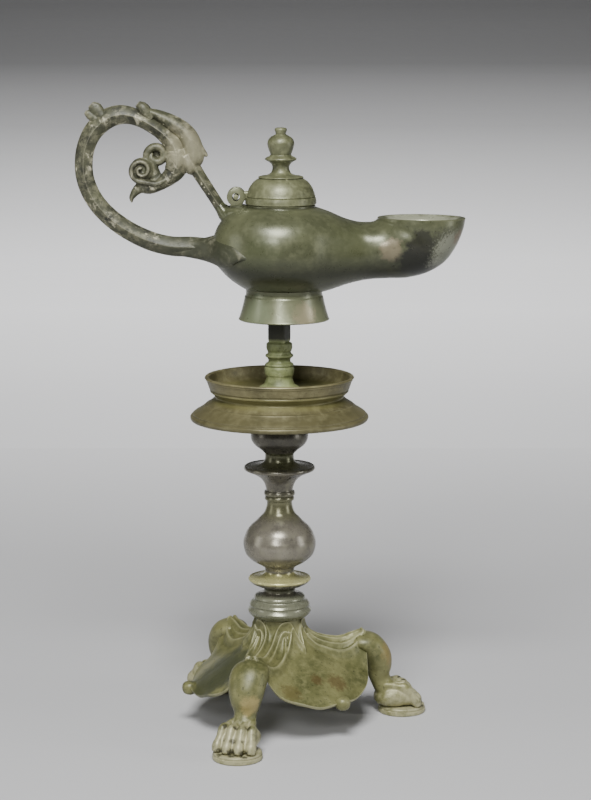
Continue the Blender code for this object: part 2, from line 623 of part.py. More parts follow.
def lamp_rows(inset):
    """Rows of (top x, top z, bottom x, bottom z, half width) down the lamp, moved in by inset.

    The sections stand upright across the bowl, then fan round until the last lies flat in the
    nozzle's mouth, as if the nozzle were a pipe that bends upwards.
    """
    bowl, tall, wide = BOWL_RADIUS, BOWL_HEIGHT, BOWL_WIDTH / 2
    start, mouth = MOUTH_START, NOZZLE_REACH - MOUTH_START
    waist, flare = NOZZLE_WAIST_WIDTH / 2, MOUTH_WIDTH / 2
    rim = MOUTH_HEIGHT
    throat = 0.52 * MOUTH_START + 10.4 * MM
    rows = [
        (-bowl, 0.560 * tall, -bowl, 0.520 * tall, 0.05 * wide),
        (-0.965 * bowl, 0.700 * tall, -0.965 * bowl, 0.375 * tall, 0.32 * wide),
        (-0.855 * bowl, 0.832 * tall, -0.855 * bowl, 0.270 * tall, 0.55 * wide),
        (-0.690 * bowl, 0.925 * tall, -0.690 * bowl, 0.165 * tall, 0.735 * wide),
        (-0.410 * bowl, 0.985 * tall, -0.410 * bowl, 0.055 * tall, 0.915 * wide),
        (0.0, tall, 0.0, 0.0, wide),
        (0.410 * bowl, 0.985 * tall, 0.410 * bowl, 0.018 * tall, 0.925 * wide),
        (0.715 * bowl, 0.925 * tall, 0.725 * bowl, 0.070 * tall, 0.755 * wide),
        (0.970 * bowl, 0.848 * tall, throat, 0.142 * tall, 0.4 * wide + 0.42 * waist),
        (start - 12.0 * MM, rim - 2.7 * MM, start - 6.0 * MM, 0.188 * tall, 1.02 * waist),
        (start - 6.6 * MM, rim - 3.0 * MM, start + 0.12 * mouth, 0.202 * tall, waist),
        (start - 3.6 * MM, rim - 2.8 * MM, start + 0.34 * mouth, 0.210 * tall, 0.8 * waist + 0.2 * flare),
        (start - 1.6 * MM, rim - 2.2 * MM, start + 0.57 * mouth, 0.266 * tall, 0.45 * waist + 0.55 * flare),
        (start - 0.4 * MM, rim - 1.4 * MM, start + 0.765 * mouth, 0.38 * tall, 0.2 * waist + 0.8 * flare),
        (start, rim - 0.8 * MM, start + 0.895 * mouth, 0.548 * tall, 0.97 * flare),
        (start, rim - 0.4 * MM, start + 0.972 * mouth, 0.725 * tall, 0.995 * flare),
        (start, rim, NOZZLE_REACH, rim - 0.4 * MM, flare),
    ]
    rows = np.array(rows)
    if inset:
        rows = rows[1:-1].copy()
        across = rows[:, 2:4] - rows[:, 0:2]
        length = np.linalg.norm(across, axis=1, keepdims=True)
        rows[:, 0:2] += across / length * inset
        rows[:, 2:4] -= across / length * inset
        rows[:, 4] -= inset
        rows[0, [0, 2]] += 1.9 * inset
        rows[-1, 1] = rim - inset - 0.4 * MM
        rows[-1, 3] = min(rows[-1, 3], rim - inset - 1.2 * MM)
    return rows


def lamp_rings(inset, count, around):
    """Closed rings of the lamp: ellipses hung between each row's top and bottom points."""
    rows = smooth_curve(lamp_rows(inset), count)
    turns = np.linspace(0, 2 * math.pi, around, endpoint=False)
    rings = []
    for top_x, top_z, low_x, low_z, half in rows:
        top, low = Vector((top_x, 0, top_z)), Vector((low_x, 0, low_z))
        middle, reach = (top + low) / 2, (top - low) / 2
        upright = abs(reach.normalized().z) ** 6
        power = 2.0 / (2.0 + 0.6 * upright)
        ring = []
        for a in turns:
            up, side = math.cos(a), math.sin(a)
            if up > 0:
                up = up ** power
                side = math.copysign(abs(side) ** power, side)
            ring.append(middle + reach * up + Vector((0, half * side, 0)))
        rings.append(ring)
    return rings


def handle_shapes():
    """The looped handle, its clasping leaf, sheath, strut, scroll, volutes and buds, in millimetres."""
    loop_x, loop_z = LOOP_CENTRE
    width, depth = BAR_HALF_WIDTH, BAR_HALF_DEPTH

    def bar(name, route, halves, sides=6, offset=0.0, count=None):
        path = [(loop_x + x * MM, loop_z + z * MM) for x, z in route]
        return swept(name, path, halves, sides, offset=offset, count=count)

    def scaled(sizes):
        return [(a * width, b * depth) for a, b in sizes]

    def in_mm(sizes):
        return [(a * MM, b * MM) for a, b in sizes]

    loop = [(48, -46.0), (40, -45.2), (28, -44.8), (15, -41.5), (1, -34.5), (-10.5, -25.5), (-18, -16),
            (-22.3, -5.5), (-23.2, 4.5), (-21.5, 14.5), (-16.8, 23.5), (-9, 30.2), (-1, 32.5), (6.5, 31.7),
            (15, 30), (22.7, 26.7), (30, 21.6), (35.2, 14.9), (37.3, 7.5), (40, 3.2)]
    plain = [(1.05, 1.0)] * 7
    sizes = [(1.12, 1.3), (1.12, 1.2), (1.1, 1.1), (1.1, 1.1), (1.1, 1.1), *plain, (1.15, 1.05),
             (1.2, 1.1), (1.28, 1.2), (1.48, 1.35), (1.85, 1.45), (2.0, 1.5), (1.9, 1.45), (1.1, 1.2)]
    made = [bar("loop", loop, scaled(sizes))]

    skin = [0.13, 0.38, 0.66, 0.82, 0.91, 0.935]
    reach = [44.0, 53.5, 60.0, 66.0, 72.0, 74.2]
    tall = [7.0, 8.6, 8.8, 6.4, 2.0, 0.4]
    clasp = [(x, -46.6 - 0.04 * (x - 44)) for x in reach]
    halves = [(high * MM, share * BOWL_WIDTH / 2 + 0.6 * MM) for high, share in zip(tall, skin)]
    made.append(bar("clasping leaf", clasp, halves))

    strut = [(38, 9), (44, -1.3), (50.5, -11.4), (57, -21.5), (61.5, -28.6)]
    sizes = [(3.9, 4.4), (3.6, 4.0), (3.3, 3.7), (3.3, 3.7), (4.0, 4.2)]
    made.append(bar("strut", strut, in_mm(sizes)))
    leaf = [(32, 27), (40, 20.5), (45, 13.5), (49.5, 8.7)]
    made.append(bar("leaf tip", leaf, in_mm([(3.6, 4.6), (3.6, 4.8), (2.8, 4.0), (0.7, 1.0)])))
    scroll = [(33, 9), (32, 3), (29, -1.8), (24, -6.8), (17.5, -10), (11, -10.2), (6.6, -13.2), (5, -18.9)]
    tall = [5.5, 6.0, 4.6, 3.6, 3.4, 3.6, 2.4, 0.6]
    thick = [1.0, 1.0, 1.0, 1.0, 1.0, 1.0, 0.8, 0.3]
    halves = [(high * MM, share * SCROLL_HALF_DEPTH) for high, share in zip(tall, thick)]
    made.append(bar("scroll", scroll, halves))
    web = [(15.5, 6.5), (17.6, 2.0), (17.5, -3.0), (17.0, -9.0)]
    made.append(bar("web", web, in_mm([(2.4, 2.2)] * 4), sides=5, offset=0.6 * VOLUTE_OFFSET))
    for x, z, side in ((9.7, 1.4, -1), (18.9, 9.3, 1)):
        turns = math.radians(-110) - np.linspace(0, 3.0 * math.pi, 10)
        shrink = np.linspace(1.0, 0.42, 10) * (VOLUTE_RADIUS - VOLUTE_WIRE_RADIUS) / MM
        route = [(x + 9.5, z - 8.6), (x + 4.5, z - 7.6)]
        route += [(x + s * math.cos(a), z + s * math.sin(a)) for a, s in zip(turns, shrink)]
        wire = (VOLUTE_WIRE_RADIUS, 1.3 * VOLUTE_WIRE_RADIUS)
        made.append(bar("volute", route, [wire] * 12, sides=5, offset=side * VOLUTE_OFFSET))
    buds = (
        ([(-8, 29), (-11.5, 33), (-14.2, 37.6), (-17.6, 39.4)], 2.9),
        ([(-12, 27), (-16.6, 31.9), (-21.3, 34.8)], 2.4),
        ([(14, 32), (13, 35.5), (9.6, 39)], 3.2),
        ([(17.5, -41), (14.6, -45.8)], 1.6),
    )
    for route, size in buds:
        sizes = np.linspace(1.0, 0.6, len(route)) * size
        made.append(bar("bud", route, in_mm([(s, 1.3 * s) for s in sizes]), sides=5))
    return made


def ear_shapes():
    """Two upright ears behind the lid, joined to the bowl by their stems."""
    made = []
    inner = TONGUE_WIDTH / 2 + GAP
    for side in (-1, 1):
        middle = side * (inner + EAR_THICKNESS / 2)
        made.append(cross_pin("ear", (HINGE_X, middle, HINGE_HEIGHT), EAR_RADIUS, EAR_THICKNESS, 16))
        low = (HINGE_X - 0.8 * EAR_RADIUS, middle - EAR_THICKNESS / 2, EAR_ROOT * BOWL_HEIGHT)
        high = (HINGE_X + 0.8 * EAR_RADIUS, middle + EAR_THICKNESS / 2, HINGE_HEIGHT)
        made.append(block("ear stem", low, high))
    return made


def make_lamp(parent):
    """One hollow casting: skin and fittings joined, then fuel chamber, mouth and holes cut out."""
    body = lofted("lamp_body", lamp_rings(0.0, 18, 18), part=True)
    foot_low = -FOOT_HEIGHT
    foot = turned("flared foot", [
        (0.0, 6 * MM), (FOOT_TOP_RADIUS - 1 * MM, 6 * MM), (FOOT_TOP_RADIUS, 0.2 * MM),
        (FOOT_TOP_RADIUS + 0.42 * (FOOT_RADIUS - FOOT_TOP_RADIUS), 0.55 * foot_low),
        (FOOT_RADIUS, foot_low), (0.0, foot_low),
    ], 24)
    foot.location.x = FOOT_X
    seat = cone("lid seat", (LID_X, 0, SEAT_HEIGHT - 9 * MM), SEAT_HEIGHT, SEAT_RADIUS, SEAT_RADIUS, 22)
    combine(body, "UNION", [foot, seat, *handle_shapes(), *ear_shapes()])

    chamber = lofted("fuel chamber", lamp_rings(LAMP_WALL, 11, 14))
    fill = cone("filling hole", (LID_X, 0, 0.6 * BOWL_HEIGHT), SEAT_HEIGHT + 2 * MM,
                FILL_HOLE_RADIUS, FILL_HOLE_RADIUS, 18)
    mouth_x = MOUTH_START + 0.485 * (NOZZLE_REACH - MOUTH_START)
    mouth = cone("wick hole", (mouth_x, 0, MOUTH_HEIGHT - 9 * MM), MOUTH_HEIGHT + 2 * MM,
                 WICK_HOLE_LENGTH / 2, WICK_HOLE_LENGTH / 2, 18, squash=WICK_HOLE_WIDTH / WICK_HOLE_LENGTH)
    hollow = cone("foot hollow", (FOOT_X, 0, foot_low - 1 * MM), 0.0,
                  FOOT_RADIUS - FOOT_WALL, FOOT_TOP_RADIUS - FOOT_WALL, 20)
    bore = cross_pin("pin bore", (HINGE_X, 0, HINGE_HEIGHT), PIN_RADIUS + GAP, 4 * EAR_RADIUS, 16)
    crown = cone("crown clearance", (LID_X, 0, SEAT_HEIGHT + GAP / 2), SEAT_HEIGHT + 0.25 * BOWL_HEIGHT,
                 LID_RADIUS + GAP, LID_RADIUS + GAP, 22)
    combine(body, "DIFFERENCE", [chamber, fill, mouth, hollow, bore, crown])

    corner = math.pi / 4 + BAR_TURN
    socket_height = SPIKE_HEIGHT + SOCKET_CLEARANCE
    sleeve_side = SPIKE_SIDE + 2 * (SOCKET_CLEARANCE + SOCKET_WALL)
    sleeve = cone("spike sleeve", (0, 0, 0.8 * MM), socket_height + SOCKET_WALL,
                  sleeve_side / math.sqrt(2), (sleeve_side - 4 * MM) / math.sqrt(2), 4, corner)
    combine(body, "UNION", [sleeve])
    taper = (SPIKE_SIDE - SPIKE_TIP_SIDE) / SPIKE_HEIGHT
    low_side = SPIKE_SIDE + 2 * SOCKET_CLEARANCE + taper * 1 * MM
    high_side = SPIKE_TIP_SIDE + 2 * SOCKET_CLEARANCE
    socket = cone("spike socket", (0, 0, -1 * MM), socket_height,
                  low_side / math.sqrt(2), high_side / math.sqrt(2), 4, corner)
    combine(body, "DIFFERENCE", [socket])
    return finish(body, bronze("olive patinated bronze", (0.19, 0.19, 0.12), 0.42, 0.4), parent)


# Lid and hinge

def make_lid(hinge):
    """The lid, with its finial and hinge tongue. Its heights count from its own underside."""
    band = LID_BAND_HEIGHT
    groove = 0.52 * band
    dome_top = band + DOME_HEIGHT
    z = dome_top + 5.0 * MM
    profile = [(0.0, z + 22.6 * MM), (0.9 * FINIAL_BUTTON_RADIUS, z + 22.5 * MM)]
    profile += [(FINIAL_BUTTON_RADIUS, z + 20.2 * MM), (0.84 * FINIAL_BUTTON_RADIUS, z + 19.2 * MM)]
    profile += quarter(profile[-1], (FINIAL_BULB_RADIUS, z + 13.8 * MM), 2, True)
    profile += quarter(profile[-1], (0.7 * FINIAL_BULB_RADIUS, z + 8.0 * MM), 2, False)
    profile += [(0.78 * FINIAL_DISC_RADIUS, z + 6.2 * MM), (FINIAL_DISC_RADIUS, z + 4.6 * MM)]
    profile += quarter(profile[-1], (FINIAL_NECK_RADIUS, z + 0.4 * MM), 2, False)
    profile += [(FINIAL_NECK_RADIUS, z - 1.0 * MM), (FINIAL_NECK_RADIUS + 1.5 * MM, dome_top)]
    profile += [(0.53 * DOME_RADIUS, dome_top - 0.6 * MM)]
    profile += quarter(profile[-1], (DOME_RADIUS, band + 1.0 * MM), 3, True)
    profile += [(DOME_RADIUS + 0.2 * MM, band), (LID_RADIUS, band - 0.4 * MM)]
    profile += [(LID_RADIUS, groove + 0.5 * MM)]
    profile += [(LID_RADIUS - 0.6 * MM, groove), (LID_RADIUS, groove - 0.5 * MM), (LID_RADIUS, 0.0)]
    inside = LID_RADIUS - LID_WALL
    profile += [(inside, 0.0), (inside, band - 0.2 * LID_WALL)]
    profile += quarter(profile[-1], (0.0, dome_top - LID_WALL), 3, False)
    lid = turned("lamp_lid", profile, part=True)
    lid.location = (LID_X - HINGE_X, 0.0, SEAT_HEIGHT + GAP - HINGE_HEIGHT)
    centre = Vector((HINGE_X - LID_X, 0.0, HINGE_HEIGHT - SEAT_HEIGHT - GAP))
    tongue = cross_pin("tongue eye", centre, TONGUE_RADIUS, TONGUE_WIDTH, 16)
    root = min(max(centre.z - 0.8 * TONGUE_RADIUS, 0.4 * MM), 0.5 * band)
    link = block("tongue", (centre.x, -TONGUE_WIDTH / 2, root),
                 (1.6 * MM - LID_RADIUS, TONGUE_WIDTH / 2, centre.z + 0.75 * TONGUE_RADIUS))
    bore = cross_pin("tongue bore", centre, PIN_RADIUS + GAP, 2 * TONGUE_WIDTH, 16)
    combine(lid, "UNION", [tongue, link])
    combine(lid, "DIFFERENCE", [bore])
    return finish(lid, bronze("pale patinated bronze", (0.24, 0.26, 0.17), 0.5, 0.3), hinge)


def make_pin(hinge):
    """The hinge pin, a plain rod along Y through both ears and the tongue."""
    bpy.ops.mesh.primitive_cylinder_add(
        vertices=16,
        radius=PIN_RADIUS,
        depth=TONGUE_WIDTH + 2 * (GAP + EAR_THICKNESS + PIN_OVERHANG),
        rotation=(math.pi / 2, 0.0, 0.0),
    )
    pin = bpy.context.object
    pin.name = "hinge_pin"
    for holder in list(pin.users_collection):
        holder.objects.unlink(pin)
    PARTS.objects.link(pin)
    return finish(pin, bronze("dark bronze wire", (0.30, 0.29, 0.22), 0.45, 0.4), hinge)


def add_empty(name, parent, location=(0.0, 0.0, 0.0)):
    empty = bpy.data.objects.new(name, None)
    empty.empty_display_size = 0.02
    empty.location = location
    empty.parent = parent
    PARTS.objects.link(empty)
    return empty


def centre_on_footprint(root):
    """Moves the whole object so that its box stands on Z = 0 with its middle at the origin."""
    bpy.context.view_layer.update()
    graph = bpy.context.evaluated_depsgraph_get()
    corners = []
    for obj in PARTS.objects:
        if obj.type == "MESH":
            shown = obj.evaluated_get(graph)
            corners += [shown.matrix_world @ vert.co for vert in shown.data.vertices]
    corners = np.array(corners)
    low, high = corners.min(axis=0), corners.max(axis=0)
    root.location = (-(low[0] + high[0]) / 2, -(low[1] + high[1]) / 2, -low[2])


def build():
    root = add_empty("stand axis", None)
    make_base(root)
    shaft, shaft_height = make_shaft(root)
    shaft.location.z = BASE_HEIGHT + GAP
    pan = make_pan(root)
    pan.location.z = BASE_HEIGHT + shaft_height + 2 * GAP
    pricket, shoulder = make_pricket(root)
    pricket.location.z = pan.location.z + PAN_FLOOR + GAP
    lamp = add_empty("lamp seat", root, (0.0, 0.0, pricket.location.z + shoulder + GAP))
    make_lamp(lamp)
    hinge = add_empty("lid hinge axis", lamp, (HINGE_X, 0.0, HINGE_HEIGHT))
    make_pin(hinge)
    make_lid(hinge)
    centre_on_footprint(root)


build()
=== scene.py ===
# %% [markdown]
# # A Late Roman bronze oil lamp on its pricket stand
#
# The lamp is one hollow casting: a bowl, a nozzle that bends up into a wide mouth, a flared foot and
# a looped handle. It hangs over the square bar of a pricket, above a drip pan, a turned baluster and
# a tripod on lion's paws. The construction solids give every place and size. Here each of them is
# dressed with a finer surface, worked out with numpy as a function of two parameters, and with the
# patina that some fifteen centuries in the ground leave on bronze.

# %% Setup
import math

import bmesh
import bpy
import numpy as np
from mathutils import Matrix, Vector


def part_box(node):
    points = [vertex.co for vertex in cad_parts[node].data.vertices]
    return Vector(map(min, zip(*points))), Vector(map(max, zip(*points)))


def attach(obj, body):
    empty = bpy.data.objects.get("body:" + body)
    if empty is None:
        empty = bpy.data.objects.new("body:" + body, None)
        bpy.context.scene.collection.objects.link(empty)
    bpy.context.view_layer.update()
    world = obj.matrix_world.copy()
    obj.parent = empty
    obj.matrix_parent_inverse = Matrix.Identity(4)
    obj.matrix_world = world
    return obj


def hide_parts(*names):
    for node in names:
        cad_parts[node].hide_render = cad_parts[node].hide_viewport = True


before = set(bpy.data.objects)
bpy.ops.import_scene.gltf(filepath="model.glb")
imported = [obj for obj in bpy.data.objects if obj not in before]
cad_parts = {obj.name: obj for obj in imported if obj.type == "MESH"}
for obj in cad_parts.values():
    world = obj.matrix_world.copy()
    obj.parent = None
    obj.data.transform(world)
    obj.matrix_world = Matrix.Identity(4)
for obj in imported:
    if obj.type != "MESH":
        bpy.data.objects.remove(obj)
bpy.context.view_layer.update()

MM = 0.001
shaft_low, shaft_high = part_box("baluster_shaft")
body_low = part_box("lamp_body")[0]
AXIS = np.array([(shaft_low.x + shaft_high.x) / 2, (shaft_low.y + shaft_high.y) / 2, 0.0])
FOOT_HEIGHT = 13.6 * MM
SEAT_Z = body_low.z + FOOT_HEIGHT  # the shoulder of the bar, where the bowl rests
SEAT_MM = SEAT_Z / MM
LAMP_ORIGIN = AXIS + np.array([0.0, 0.0, SEAT_Z])
LEGS = [math.radians(degrees) for degrees in (252, 374, 485)]  # turned from the nozzle's direction
print("stand axis", AXIS.round(5), "lamp seat", round(SEAT_Z, 5))

# %% [markdown]
# ## The camera first
#
# The photograph was taken with a long lens, a little above the lamp and level with its side. A lens
# of about 100 mm on a 36 mm frame, tilted down by nine and a half degrees, gives the same ellipses
# at the pan and the foot as in the picture.

# %% Camera
CAMERA_DISTANCE = 1.3315
CAMERA_HEIGHT = 0.4219
CAMERA_SIDE = 9.66 * MM
CAMERA_TILT = math.radians(9.5)
LENS_MM = 101.25

camera_data = bpy.data.cameras.new("camera")
camera_data.lens = LENS_MM
camera = bpy.data.objects.new("camera", camera_data)
camera.location = (AXIS[0] + CAMERA_SIDE, AXIS[1] - CAMERA_DISTANCE, CAMERA_HEIGHT)
camera.rotation_euler = (math.pi / 2 - CAMERA_TILT, 0.0, 0.0)
bpy.context.scene.collection.objects.link(camera)
bpy.context.scene.camera = camera
print("camera at", [round(v, 4) for v in camera.location])

# %% [markdown]
# ## Surfaces from numbers
#
# Most of this object was turned or modelled in wax before it was cast, so its shapes are of two
# kinds: profiles spun round an axis, and sections carried along a path. Both are a grid of points.
# The helpers below smooth a few measured points into a curve, spin or carry it as whole arrays, and
# close the result into a skin that faces outwards.

# %% Curves
def smooth(points, per_span=6):
    """Catmull-Rom curve through rows of numbers: four neighbours are blended by cubic weights."""
    rows = np.asarray(points, float)
    if len(rows) == 2:
        return rows
    ends = np.vstack([2 * rows[0] - rows[1], rows, 2 * rows[-1] - rows[-2]])
    place = np.linspace(0, len(rows) - 1, (len(rows) - 1) * per_span + 1)
    first = np.minimum(place.astype(int), len(rows) - 2)
    t = (place - first)[:, None]
    a, b, c, d = (ends[first + k] for k in range(4))
    square, cube = 2 * a - 5 * b + 4 * c - d, 3 * b - a - 3 * c + d
    return 0.5 * (2 * b + (c - a) * t + square * t**2 + cube * t**3)


def strokes(*parts, per_span=6):
    """A profile of several smooth strokes that meet at sharp corners."""
    rows = [smooth(parts[0], per_span)]
    for part in parts[1:]:
        rows.append(smooth([rows[-1][-1], *part], per_span)[1:])
    return np.vstack(rows)


def rounded(turns, power):
    """A superellipse |a|^p + |b|^p = 1 at the given angles: 2 is round, 1.3 ridged, 10 nearly square."""
    a, b = np.cos(turns), np.sin(turns)
    size = (np.abs(a) ** power + np.abs(b) ** power) ** (1 / power)
    return a / size, b / size


# %% Skins
WELD, SLIVER = 1e-6, 1e-7  # metres
CREASE = math.radians(42)


def full_turn(count):
    """Angles all the way round, without the last one, which would repeat the first."""
    return np.linspace(0, 2 * math.pi, count, endpoint=False)


def points(x, y, z):
    """Stacks three arrays of coordinates into one grid of points."""
    return np.stack(np.broadcast_arrays(x, y, z), axis=-1)


def mesh_piece(name, grid):
    """Puts a grid of points, closed round its second direction, into a mesh with its poles welded."""
    rows, columns = grid.shape[:2]
    index = np.arange(rows * columns).reshape(rows, columns)
    ahead = np.roll(index, -1, axis=1)
    quads = np.stack([index[:-1], ahead[:-1], ahead[1:], index[1:]], axis=-1).reshape(-1, 4)
    mesh = bpy.data.meshes.new(name)
    mesh.from_pydata(grid.reshape(-1, 3), [], quads)
    shape = bmesh.new()
    shape.from_mesh(mesh)
    bmesh.ops.remove_doubles(shape, verts=shape.verts, dist=WELD)
    bmesh.ops.dissolve_degenerate(shape, edges=shape.edges, dist=SLIVER)
    if shape.calc_volume(signed=True) < 0:
        bmesh.ops.reverse_faces(shape, faces=shape.faces)
    shape.to_mesh(mesh)
    shape.free()
    mesh.shade_smooth()
    mesh.set_sharp_from_angle(angle=CREASE)
    piece = bpy.data.objects.new(name, mesh)
    bpy.context.scene.collection.objects.link(piece)
    return piece


def capped(grid):
    """Adds the middle of the first and last ring as a pole, so that a carried section is closed."""
    low = np.broadcast_to(grid[0].mean(axis=0), grid[:1].shape)
    high = np.broadcast_to(grid[-1].mean(axis=0), grid[:1].shape)
    return np.concatenate([low, grid, high])


def turned(name, profile, centre=AXIS, around=128):
    """Spins (radius, height) rows in millimetres about the upright line through centre."""
    radius, height = np.asarray(profile).T[..., None] * MM
    turns = full_turn(around)
    x, y = centre[0] + radius * np.cos(turns), centre[1] + radius * np.sin(turns)
    return mesh_piece(name, points(x, y, height))


def carried(name, path, halves, power=2.0, around=40, per_span=8, out=(1, 0, 0), origin=LAMP_ORIGIN,
            offset=0.0):
    """Carries a superellipse along a path drawn in an upright plane, in millimetres.

    Each row of halves is (half size in the plane, half size across it). The section stands square
    to the path: point = path + normal * in * cos + across * half * sin.
    """
    rows = smooth(np.hstack([np.asarray(path, float), np.asarray(halves, float)]), per_span) * MM
    out = np.array(out, float)
    up = np.array([0.0, 0.0, 1.0])
    across = np.cross(up, out)
    tangent = np.gradient(rows[:, :2], axis=0)
    tangent /= np.linalg.norm(tangent, axis=1, keepdims=True)
    normal = tangent[:, :1] * up - tangent[:, 1:] * out
    middle = origin + rows[:, :1] * out + rows[:, 1:2] * up + across * offset * MM
    a, b = rounded(full_turn(around), power)
    inside, sideways = rows[:, 2:3] * a, rows[:, 3:4] * b
    grid = middle[:, None] + normal[:, None] * inside[..., None] + across * sideways[..., None]
    return mesh_piece(name, capped(grid))


def evaluated(piece):
    """Replaces a piece's mesh by what its modifiers make of it, so that nothing is left live."""
    bpy.context.view_layer.update()
    graph = bpy.context.evaluated_depsgraph_get()
    mesh = bpy.data.meshes.new_from_object(piece.evaluated_get(graph))
    piece.modifiers.clear()
    piece.data = mesh
    return piece


def melted(name, parts, voxel_mm, rounds):
    """Joins overlapping closed skins into one, as wax parts are melted together before casting."""
    shape = bmesh.new()
    for part in parts:
        shape.from_mesh(part.data)
        bpy.data.objects.remove(part)
    mesh = bpy.data.meshes.new(name)
    shape.to_mesh(mesh)
    shape.free()
    piece = bpy.data.objects.new(name, mesh)
    bpy.context.scene.collection.objects.link(piece)
    remesh = piece.modifiers.new("melt", "REMESH")
    remesh.mode = "VOXEL"
    remesh.voxel_size = voxel_mm * MM
    soften = piece.modifiers.new("soften", "SMOOTH")
    soften.factor = 0.5
    soften.iterations = rounds
    evaluated(piece)
    piece.data.shade_smooth()
    print(name, len(piece.data.polygons), "faces")
    return piece


def dress(piece, material, body="stand", node=None):
    """Gives a piece its finish, the body that it rides on and the construction solid it stands for."""
    piece.data.materials.clear()
    piece.data.materials.append(material)
    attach(piece, body)
    if node:
        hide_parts(node)


# %% [markdown]
# ## Buried bronze
#
# Cast bronze that has lain in the ground is covered by a thin, hard patina: copper carbonates and
# oxides, olive green to brown, matt in the hollows and half polished on the ridges. Over it lie
# paler crusts of earth and lime, and dark pits. One builder makes all the finishes of this object:
# broad clouds of two tones, a mottle a few millimetres wide, pale crust that gathers in patches,
# pits, lighter edges where hands and brushes have rubbed the patina thin, and painted shade: grooves
# darkened by their curvature, and dark spots and bands where shade falls.

# %% Finish helpers
def linear(code):
    """An sRGB hex colour as linear red, green, blue and alpha."""
    parts = [int(code[k:k + 2], 16) / 255 for k in (1, 3, 5)]
    return (*[p / 12.92 if p <= 0.04045 else ((p + 0.055) / 1.055) ** 2.4 for p in parts], 1.0)


def add(tree, kind, settings=None, **feeds):
    """Adds a node. settings hold its properties and, by number, its sockets; feeds link others in."""
    node = tree.nodes.new(kind)
    for key, value in (settings or {}).items():
        if isinstance(key, int) or key in node.inputs:
            node.inputs[key].default_value = value
        else:
            setattr(node, key, value)
    for key, source in feeds.items():
        tree.links.new(source, node.inputs[int(key[1:])])
    return node


def ramp(node, *stops):
    """Sets a colour ramp's (place, grey) stops."""
    first, last = node.color_ramp.elements
    first.position, last.position = stops[0][0], stops[-1][0]
    first.color, last.color = (stops[0][1],) * 3 + (1,), (stops[-1][1],) * 3 + (1,)
    return node.outputs["Color"]


PER_METRE = 1000.0  # a noise's scale counts the patches in one metre
MOTTLE_MM, CRUST_MM, PIT_MM = 4.5, 9.0, 1.9


